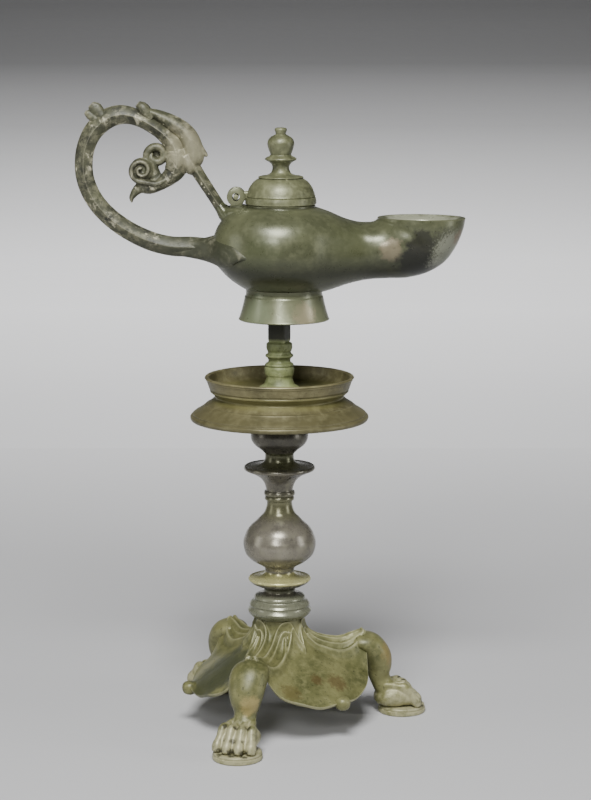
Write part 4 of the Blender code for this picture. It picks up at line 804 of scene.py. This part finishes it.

# %% [markdown]
# ## The handle
#
# The handle was modelled in wax as rods and leaves: a stem that grows from the bowl and loops over,
# a sheath of leaf on its crown, a scroll that curls back inside with two volutes, two buds, and a
# strut down to the shoulder. Each is a section carried along a path in the lamp's own plane. All but
# the loop are melted into one skin, as the wax was, so that no seam shows where they grow from each
# other; the loop stays a skin of its own, with its end sunk in the sheath.

# %% Loop
LOOP_X, LOOP_Z = -92.0, 75.0  # the middle of the loop, in millimetres from the seat
RIDGED = 1.28
LOOP_PATH = [(50, -46.2), (40, -45.2), (28, -44.8), (15, -41.5), (1, -34.5), (-10.5, -25.5), (-18, -16),
             (-22.3, -5.5), (-23.2, 4.5), (-21.5, 14.5), (-16.8, 23.5), (-9, 30.2), (-1, 32.6), (7, 31.4),
             (15, 27.8), (24.2, 21.4), (30.3, 14.2), (32.0, 5.3), (29.5, -1.5)]
LOOP_HALVES = [(6.0, 6.2), (6.0, 5.6), (5.8, 4.9), (5.7, 4.6), (5.5, 4.5), (5.4, 4.3), (5.3, 4.2),
               (5.3, 4.2), (5.3, 4.2), (5.4, 4.2), (5.7, 4.4), (5.9, 4.6), (5.6, 4.6), (5.0, 4.6),
               (4.7, 4.8), (4.8, 5.2), (5.8, 5.6), (6.0, 5.6), (5.0, 4.8)]


def wax(path, halves, power=2.0, offset=0.0, around=28, per_span=8, name="wax"):
    """A rod of the handle: its path is measured from the middle of the loop."""
    route = [(LOOP_X + x, LOOP_Z + z) for x, z in path]
    return carried(name, route, halves, power, around, per_span, offset=offset)


loop = wax(LOOP_PATH, LOOP_HALVES, RIDGED, around=112, per_span=14, name="handle_loop")
dress(loop, handle_bronze)
print("loop", len(loop.data.polygons), "faces")

# %% Sheath, strut and scroll
pieces = [
    # the end of the loop, inside the sheath
    wax([(31.0, 12.0), (32.0, 6.0), (29.5, -0.5)], [(5.4, 5.2), (6.2, 5.6), (5.4, 4.8)]),
    # the sheath of leaf along the loop's crown
    wax([(13, 35.0), (19, 33.2), (29, 27.8), (37.4, 21.6), (41.2, 13.2), (42.0, 5.6), (41.2, 1.8)],
        [(1.2, 2.0), (2.8, 4.2), (4.8, 5.4), (5.4, 5.8), (6.0, 5.8), (5.4, 5.2), (1.4, 1.6)], 1.7),
    # its lobe, which hangs over the strut
    wax([(36.5, 9.0), (39.0, 3.5), (40.4, -0.8), (41.0, -2.6)],
        [(4.0, 5.2), (4.2, 5.8), (3.0, 4.6), (0.8, 1.6)]),
    # its spur
    wax([(43.5, 17.0), (46.6, 12.4), (48.6, 9.4), (49.8, 8.2)],
        [(2.0, 3.4), (1.5, 2.6), (1.3, 2.0), (0.7, 1.2)]),
    # the ridged strut down to the shoulder
    wax([(38, 9), (44, -1.3), (50.5, -11.4), (57, -21.5), (62.5, -30.5)],
        [(3.9, 4.2), (3.7, 3.9), (3.5, 3.7), (3.5, 3.7), (4.2, 4.4)], 1.25),
    # the scroll's stem, which ends in a pointed tail
    wax([(33.5, 7), (31.2, 0.4), (26.6, -4.6), (20.8, -8.6), (15.6, -10.3), (10.8, -10.0), (7.2, -12.6),
         (4.9, -16.2), (4.9, -19.0)],
        [(5.6, 4.8), (6.0, 4.6), (4.8, 4.4), (3.7, 4.2), (3.7, 4.0), (3.6, 3.6), (2.6, 2.8), (1.6, 2.0),
         (0.5, 0.8)], 1.7),
    # the stalk of the far volute
    wax([(17.6, 6.5), (17.4, 1.5), (18.4, -3.0), (20.0, -7.5)],
        [(3.0, 2.6), (3.4, 2.6), (4.0, 2.8), (4.0, 3.0)], offset=1.2),
]
print(len(pieces), "rods")


# %% Volutes
def volute(x, z, start, turn, first, last, count=14):
    """Points of a spiral round (x, z): its radius shrinks evenly while its angle turns."""
    angles = math.radians(start) + np.linspace(0, math.radians(turn), count)
    size = np.linspace(first, last, count)
    return [(x + s * math.cos(a), z + s * math.sin(a)) for a, s in zip(angles, size)]


def button(x, z, size, thick, offset):
    """A round cushion that fills a volute: it swells and shrinks along x as a circle does."""
    path = [(x + share * size, z) for share in (-1, -0.7, 0, 0.7, 1)]
    halves = [(0.3, 0.4), (0.72 * size, thick), (size, thick), (0.72 * size, thick), (0.3, 0.4)]
    return wax(path, halves, offset=offset)


near_curl = [(26, -5.0), (19.5, -7.8)] + volute(11.0, 0.2, -80, -560, 7.0, 1.0, 15)
near_halves = [(1.5, 3.2), (1.8, 4.0)] + [(1.85 - 0.05 * k, 4.8) for k in range(14)] + [(1.0, 4.6)]
pieces.append(wax(near_curl, near_halves, 2.6, offset=-1.4, around=24))
far_curl = [(18.6, -5.5), (16.0, 0.5)] + volute(19.7, 8.6, 190, -400, 5.8, 2.8, 12)
far_halves = [(2.4, 3.6)] * 12 + [(1.6, 3.2), (0.8, 2.4)]
pieces.append(wax(far_curl, far_halves, 2.3, offset=1.8, around=24))
pieces.append(button(11.0, 0.3, 7.2, 3.3, -0.6))
pieces.append(button(19.6, 8.8, 6.8, 1.4, 4.4))
print(len(pieces), "pieces with the volutes")

# %% Buds, and the melt
BUDS = (
    # the two lobes of the sprig
    ([(-8.5, 27.5), (-12.6, 32.4), (-16.0, 36.0), (-18.6, 38.6)],
     [(3.6, 3.6), (3.5, 2.8), (4.2, 2.4), (2.2, 1.4)]),
    ([(-11, 26), (-15.4, 29.6), (-19.2, 32.4), (-22.0, 34.2)],
     [(3.0, 3.2), (2.5, 2.6), (2.7, 2.2), (1.2, 1.2)]),
    # the bud where the sheath begins
    ([(17, 30.0), (14.6, 33.4), (11.6, 36.8), (8.8, 39.0)],
     [(2.6, 3.4), (3.4, 4.2), (3.5, 4.2), (1.8, 2.4)]),
    # the stub under the stem
    ([(18.5, -41), (15.6, -44.6), (14.4, -46.2)], [(2.0, 2.0), (1.6, 1.6), (0.9, 0.9)]),
)
for path, halves in BUDS:
    pieces.append(wax(path, halves, 2.2))
dress(melted("handle_skin", pieces, 0.42, 2), handle_bronze)

# %% Shoulder under strut and ears
shoulder = [
    wax([(60.5, -29.5), (63.0, -26.4), (66.5, -25.2), (71.0, -24.8), (75.5, -25.0)],
        [(2.8, 5.0), (4.8, 8.4), (5.4, 11.0), (4.8, 12.5), (3.8, 13.0)], 2.2),
    wax([(56.0, -19.9), (61.0, -26.4), (66.5, -31.5)], [(2.9, 3.1), (4.9, 6.6), (3.6, 8.0)], 1.8),
]
dress(melted("shoulder", shoulder, 0.5, 8), lamp_bronze)

# %% Leaf that clasps the bowl
LEAF_PATH = [(-66, 29.4), (-57, 28.8), (-48, 28.4), (-41, 28.2), (-34, 28.0), (-27.5, 27.6), (-22, 26.8),
             (-16.8, 25.6)]
LEAF_HALVES = [(3.2, 2.8), (4.7, 4.0), (6.0, 6.4), (7.6, 11.6), (9.8, 22.9), (9.2, 30.4), (5.2, 33.4),
               (0.8, 34.6)]
leaf = carried("clasping_leaf", LEAF_PATH, LEAF_HALVES, power=3.0, around=112, per_span=14)
dress(leaf, handle_bronze)
print("leaf", len(leaf.data.polygons), "faces")

# %% [markdown]
# ## The tripod base
#
# The base is one hollow casting. Three shells of leaf spring from the neck, dip to a saddle and rise
# to a horn above each leg, and between them the apron hangs as a curved cloth with a lobed edge. A
# point of its skin has two parameters: share, from neck to edge, and aside, from a leg's crest to
# the middle of the panel beside it. Height and reach blend from the crest's line to the apron's by a
# bell curve. The leaf work is raised along lines drawn in those two parameters.

# %% Base skin
CREST = [(14, 66), (15.7, 57.3), (22.8, 51.6), (36, 48.6), (45.4, 50.8), (53, 52.0)]
APRON = [(14, 66), (16.5, 56.4), (24.3, 45.6), (35.3, 37.3), (46.8, 29.0), (55, 22.6)]
PANEL = math.radians(60)


def half_gap(leg):
    """Half the angle from one leg to the next."""
    return (LEGS[(leg + 1) % 3] - LEGS[leg]) % (2 * math.pi) / 2


def base_surface(share, aside, leg, rise=0.0):
    """Points of the outer skin, for arrays of share and aside of one leg, raised by rise millimetres."""
    crest, apron = smooth(CREST, 40), smooth(APRON, 40)
    steps = np.linspace(0, 1, len(crest))
    spread = math.radians(17) * (1.35 - 0.55 * share)
    end = 1 / (1 + (PANEL / spread) ** 2.2)
    weight = (1 / (1 + np.abs(aside * PANEL / spread) ** 2.2) - end) / (1 - end)
    reach, height = ((1 - weight) * np.interp(share, steps, apron[:, k])
                     + weight * np.interp(share, steps, crest[:, k]) for k in (0, 1))
    angle = LEGS[leg] + np.where(aside > 0, aside * half_gap(leg), aside * half_gap(leg - 1))
    reach = reach + 0.4 * rise
    return points(AXIS[0] + reach * MM * np.cos(angle), AXIS[1] + reach * MM * np.sin(angle),
                  (height + rise) * MM)


def near_line(share, aside, line, width):
    """How near each point lies to a drawn line, from 0 to 1: a bell of the distance in millimetres."""
    route = smooth(line, 10)
    scale = np.stack([60.0 + 0 * share, (14 + 42 * share)], axis=-1)
    place = np.stack([share, aside], axis=-1) * scale
    nearest = np.full(share.shape, 1e9)
    for start, finish in zip(route[:-1], route[1:]):
        a, b = start * scale, finish * scale
        along = np.clip(((place - a) * (b - a)).sum(-1) / ((b - a) ** 2).sum(-1), 0, 1)[..., None]
        nearest = np.minimum(nearest, np.linalg.norm(place - a - along * (b - a), axis=-1))
    return np.exp(-((nearest / width) ** 2))


LEAF_LINES = (  # points (share, aside), height and half width in millimetres
    ([(0.34, 1.0), (0.20, 0.88), (0.10, 0.76), (0.05, 0.63), (0.06, 0.48), (0.11, 0.30), (0.22, 0.17),
      (0.42, 0.11), (0.70, 0.06), (0.95, 0.02)], 2.3, 1.5),
    ([(0.17, 0.62), (0.16, 0.48), (0.21, 0.34), (0.32, 0.25), (0.50, 0.18), (0.72, 0.12), (0.94, 0.05)],
     1.5, 1.0),
    ([(0.24, 0.50), (0.33, 0.46), (0.45, 0.39), (0.56, 0.30), (0.70, 0.21), (0.86, 0.12)], 1.4, 1.1),
    ([(0.16, 0.74), (0.24, 0.66), (0.34, 0.54), (0.50, 0.39), (0.68, 0.26), (0.85, 0.14), (0.98, 0.05)],
     2.2, 1.4),
)
rows_share = 1 - (1 - np.linspace(0, 1, 110)) ** 1.05
share, aside = np.meshgrid(rows_share, np.linspace(-1, 1, 121)[:-1], indexing="ij")
leaves = sum(height * near_line(share, np.abs(aside), line, width) for line, height, width in LEAF_LINES)
lobes = 0.9 * np.cos(aside * math.pi * 4) * np.clip((share - 0.8) / 0.2, 0, 1) ** 2
relief = leaves * np.clip(share / 0.06, 0, 1) + lobes
outside = np.concatenate([base_surface(share, aside, leg, relief) for leg in range(3)], axis=1)


def drawn_in(grid, inset, drop):
    """The same points moved level towards the axis by inset and down by drop, in millimetres."""
    inward = (AXIS - grid) * [1.0, 1.0, 0.0]
    inward /= np.linalg.norm(inward, axis=-1, keepdims=True)
    return grid + inward * inset * MM - [0, 0, drop * MM]


lip = [drawn_in(outside[-1], inset, drop) for inset, drop in ((0.2, 0.9), (1.2, 1.7), (2.4, 1.5))]
plain = np.concatenate([base_surface(share, aside, leg) for leg in range(3)], axis=1)
under = drawn_in(plain[::-3], 1.9, 2.3)  # every third row is enough where no relief shows
skin = np.concatenate([outside, lip, under[1:]])
base_shell = mesh_piece("base_shell", capped(skin))
dress(base_shell, base_bronze, node="tripod_base")
print("base shell", len(base_shell.data.polygons), "faces")

# %% [markdown]
# ## Legs and paws
#
# Below each horn a haunch swells, narrows to the ankle and ends in a lion's paw on a round disc. The
# haunch, the shin, the ball of the paw and four bent toes are modelled one by one and melted into
# one skin, with gaps left between the toes; the dark in those gaps is painted shade, spots in the
# base's finish.

# %% Legs
def paw_leg(angle, number):
    """The pieces of one leg in its own upright plane, melted into one."""
    out = np.array([math.cos(angle), math.sin(angle), 0.0])
    across = np.cross([0, 0, 1], out)
    route = [(43.0, 44.4), (49.5, 46.0), (56.6, 43.8), (61.4, 37.2), (62.8, 31.4), (63.0, 26.0),
             (64.2, 21.4), (67.4, 15.6), (71.4, 10.6)]
    halves = [(3.0, 5.4), (5.8, 9.8), (8.2, 11.4), (8.8, 11.0), (8.2, 9.8), (7.0, 8.0), (6.2, 6.6),
              (6.6, 8.0), (7.0, 10.2)]
    parts = [carried("wax", route, halves, 2.0, 48, 8, out=out, origin=AXIS)]
    for side in range(4):
        place = side - 1.5
        fan = angle + 0.16 * place
        toe_out = np.array([math.cos(fan), math.sin(fan), 0.0])
        start = AXIS + out * 67.5 * MM + across * 4.2 * place * MM
        length = 1.0 - 0.05 * place**2
        toe = [(-3.0, 18.6), (2.0, 18.4), (7.0 * length, 17.6), (11.6 * length, 16.6),
               (15.6 * length, 12.6), (19.0 * length, 8.6), (21.2 * length, 5.4)]
        toe_halves = [(1.8, 1.6), (2.2, 1.8), (2.4, 2.1), (3.5, 2.9), (2.6, 2.5), (3.4, 3.1), (2.0, 2.4)]
        parts.append(carried("wax", toe, toe_halves, 2.0, 28, 8, out=toe_out, origin=start))
    ball = [(61.5, 7.0), (64.5, 9.0), (70.0, 11.0), (77.0, 10.6), (83.0, 8.0), (87.0, 6.0)]
    ball_halves = [(1.6, 4.0), (5.6, 9.6), (8.0, 11.4), (7.0, 11.8), (4.4, 9.8), (1.2, 4.0)]
    parts.append(carried("wax", ball, ball_halves, 2.0, 48, 8, out=out, origin=AXIS))
    return melted(f"leg_{number}", parts, 0.55, 2)


DISC_PROFILE = strokes([(0, 0.0), (13.9, 0.0)], [(14.6, 0.6), (14.7, 1.6), (14.6, 2.6)], [(14.0, 3.0)],
                       [(14.3, 3.5), (14.0, 4.4), (13.2, 4.7)], [(0, 4.9)])
PAW_REACH = 78.0
for number, angle in enumerate(LEGS):
    disc = turned(f"paw_disc_{number}", DISC_PROFILE, at_leg(angle, PAW_REACH, 0.0), 96)
    dress(disc, base_bronze)
    dress(paw_leg(angle, number), base_bronze)

# %% Knobs under the apron
KNOB_REACH = 55.4
bead = [(0, 18.6), (2.0, 18.8), (3.8, 20.0), (4.6, 22.4), (4.3, 24.8), (2.8, 26.4), (0, 27.0)]
for number, angle in enumerate(LEGS):
    place = at_leg(angle, KNOB_REACH, 0.0, half_gap(number))
    dress(turned(f"apron_knob_{number}", smooth(bead, 6), place, 48), base_bronze)

# %% [markdown]
# ## Floor and light
#
# The lamp stands on a sweep: a floor that curves up into a backdrop, so that no corner shows. Its
# paint carries painted light and shade: palest low on the curve, darker on the near floor and
# darkening upwards, as the wall in the photograph does. One soft box in front and above gives most
# of the light, a small one farther forward gives the highlights, two weak strips draw the edges at
# left and right, and a wide box lights the backdrop.

# %% Floor
stone = bpy.data.materials.new("pale studio sweep")
stone.use_nodes = True
sweep_shader = stone.node_tree.nodes["Principled BSDF"]
# painted light and shade: a grey ramp on height, and a little on depth, darker on the near floor, lightest
# low on the curve and darker up the wall
place = add(stone.node_tree, "ShaderNodeSeparateXYZ",
            _0=add(stone.node_tree, "ShaderNodeTexCoord").outputs["Object"])
climb = add(stone.node_tree, "ShaderNodeMath", {"operation": "MULTIPLY_ADD", 1: 0.05}, _0=place.outputs[1])
stone.node_tree.links.new(place.outputs[2], climb.inputs[2])
shade = add(stone.node_tree, "ShaderNodeMapRange", {1: 0.0, 2: 0.6}, _0=climb.outputs[0])
painted_light_ramp = add(stone.node_tree, "ShaderNodeValToRGB", _0=shade.outputs[0])
SWEEP_PAINTED_LIGHT = ((0.0, 0.54), (0.035, 0.57), (0.075, 0.70), (0.17, 0.82), (0.243, 0.88), (0.342, 0.78),
               (0.482, 0.51), (0.62, 0.265), (0.757, 0.105), (0.89, 0.069))
while len(painted_light_ramp.color_ramp.elements) < len(SWEEP_PAINTED_LIGHT):
    painted_light_ramp.color_ramp.elements.new(0.5)
for stop, (position, grey) in zip(painted_light_ramp.color_ramp.elements, SWEEP_PAINTED_LIGHT):
    stop.position = position
    stop.color = (grey, grey, grey * 1.01, 1.0)
stone.node_tree.links.new(painted_light_ramp.outputs[0], sweep_shader.inputs["Base Color"])
sweep_shader.inputs["Roughness"].default_value = 0.8
sweep_shader.inputs["Specular IOR Level"].default_value = 0.15

FLOOR_HALF = 6.0
floor_rows = strokes([(-3.0, 0.0), (0.9, 0.0)],
                     [(1.25, 0.03), (1.5, 0.13), (1.68, 0.34), (1.76, 0.7), (1.8, 2.4)], per_span=16)
grid = np.empty((len(floor_rows), 2, 3))
grid[:, 0, 0], grid[:, 1, 0] = -FLOOR_HALF, FLOOR_HALF
grid[:, :, 1] = floor_rows[:, :1]
grid[:, :, 2] = floor_rows[:, 1:]
index = np.arange(grid.shape[0] * 2).reshape(-1, 2)
quads = np.stack([index[:-1, 0], index[:-1, 1], index[1:, 1], index[1:, 0]], axis=-1)
sweep = bpy.data.meshes.new("studio_sweep")
sweep.from_pydata(grid.reshape(-1, 3), [], quads)
sweep.materials.append(stone)
floor = bpy.data.objects.new("studio_sweep", sweep)
bpy.context.scene.collection.objects.link(floor)


# %% Lights
def soft_box(name, place, target, size, watts):
    """A white rectangular light at place, turned towards target."""
    data = bpy.data.lights.new(name, "AREA")
    data.shape = "RECTANGLE"
    data.size, data.size_y = size
    data.energy = watts
    light = bpy.data.objects.new(name, data)
    light.location = place
    light.rotation_euler = (Vector(target) - Vector(place)).to_track_quat("-Z", "Y").to_euler()
    bpy.context.scene.collection.objects.link(light)


soft_box("overhead box", (-0.06, -0.85, 1.25), (0.0, 0.0, 0.15), (0.5, 0.5), 29.0)
soft_box("front box", (-0.3, -1.5, 0.9), (0.0, 0.0, 0.24), (0.34, 0.34), 9.0)
soft_box("left strip", (-1.0, -0.25, 0.35), (0.0, 0.0, 0.2), (0.22, 0.6), 1.5)
soft_box("right strip", (1.0, -0.25, 0.35), (0.0, 0.0, 0.2), (0.22, 0.6), 2.8)
soft_box("backdrop box", (0.0, 0.9, 1.0), (0.0, 1.72, 0.12), (1.8, 0.25), 16.0)

world = bpy.data.worlds.new("studio")
world.use_nodes = True
world.node_tree.nodes["Background"].inputs["Color"].default_value = linear("#c9ccd0")
world.node_tree.nodes["Background"].inputs["Strength"].default_value = 0.03
bpy.context.scene.world = world
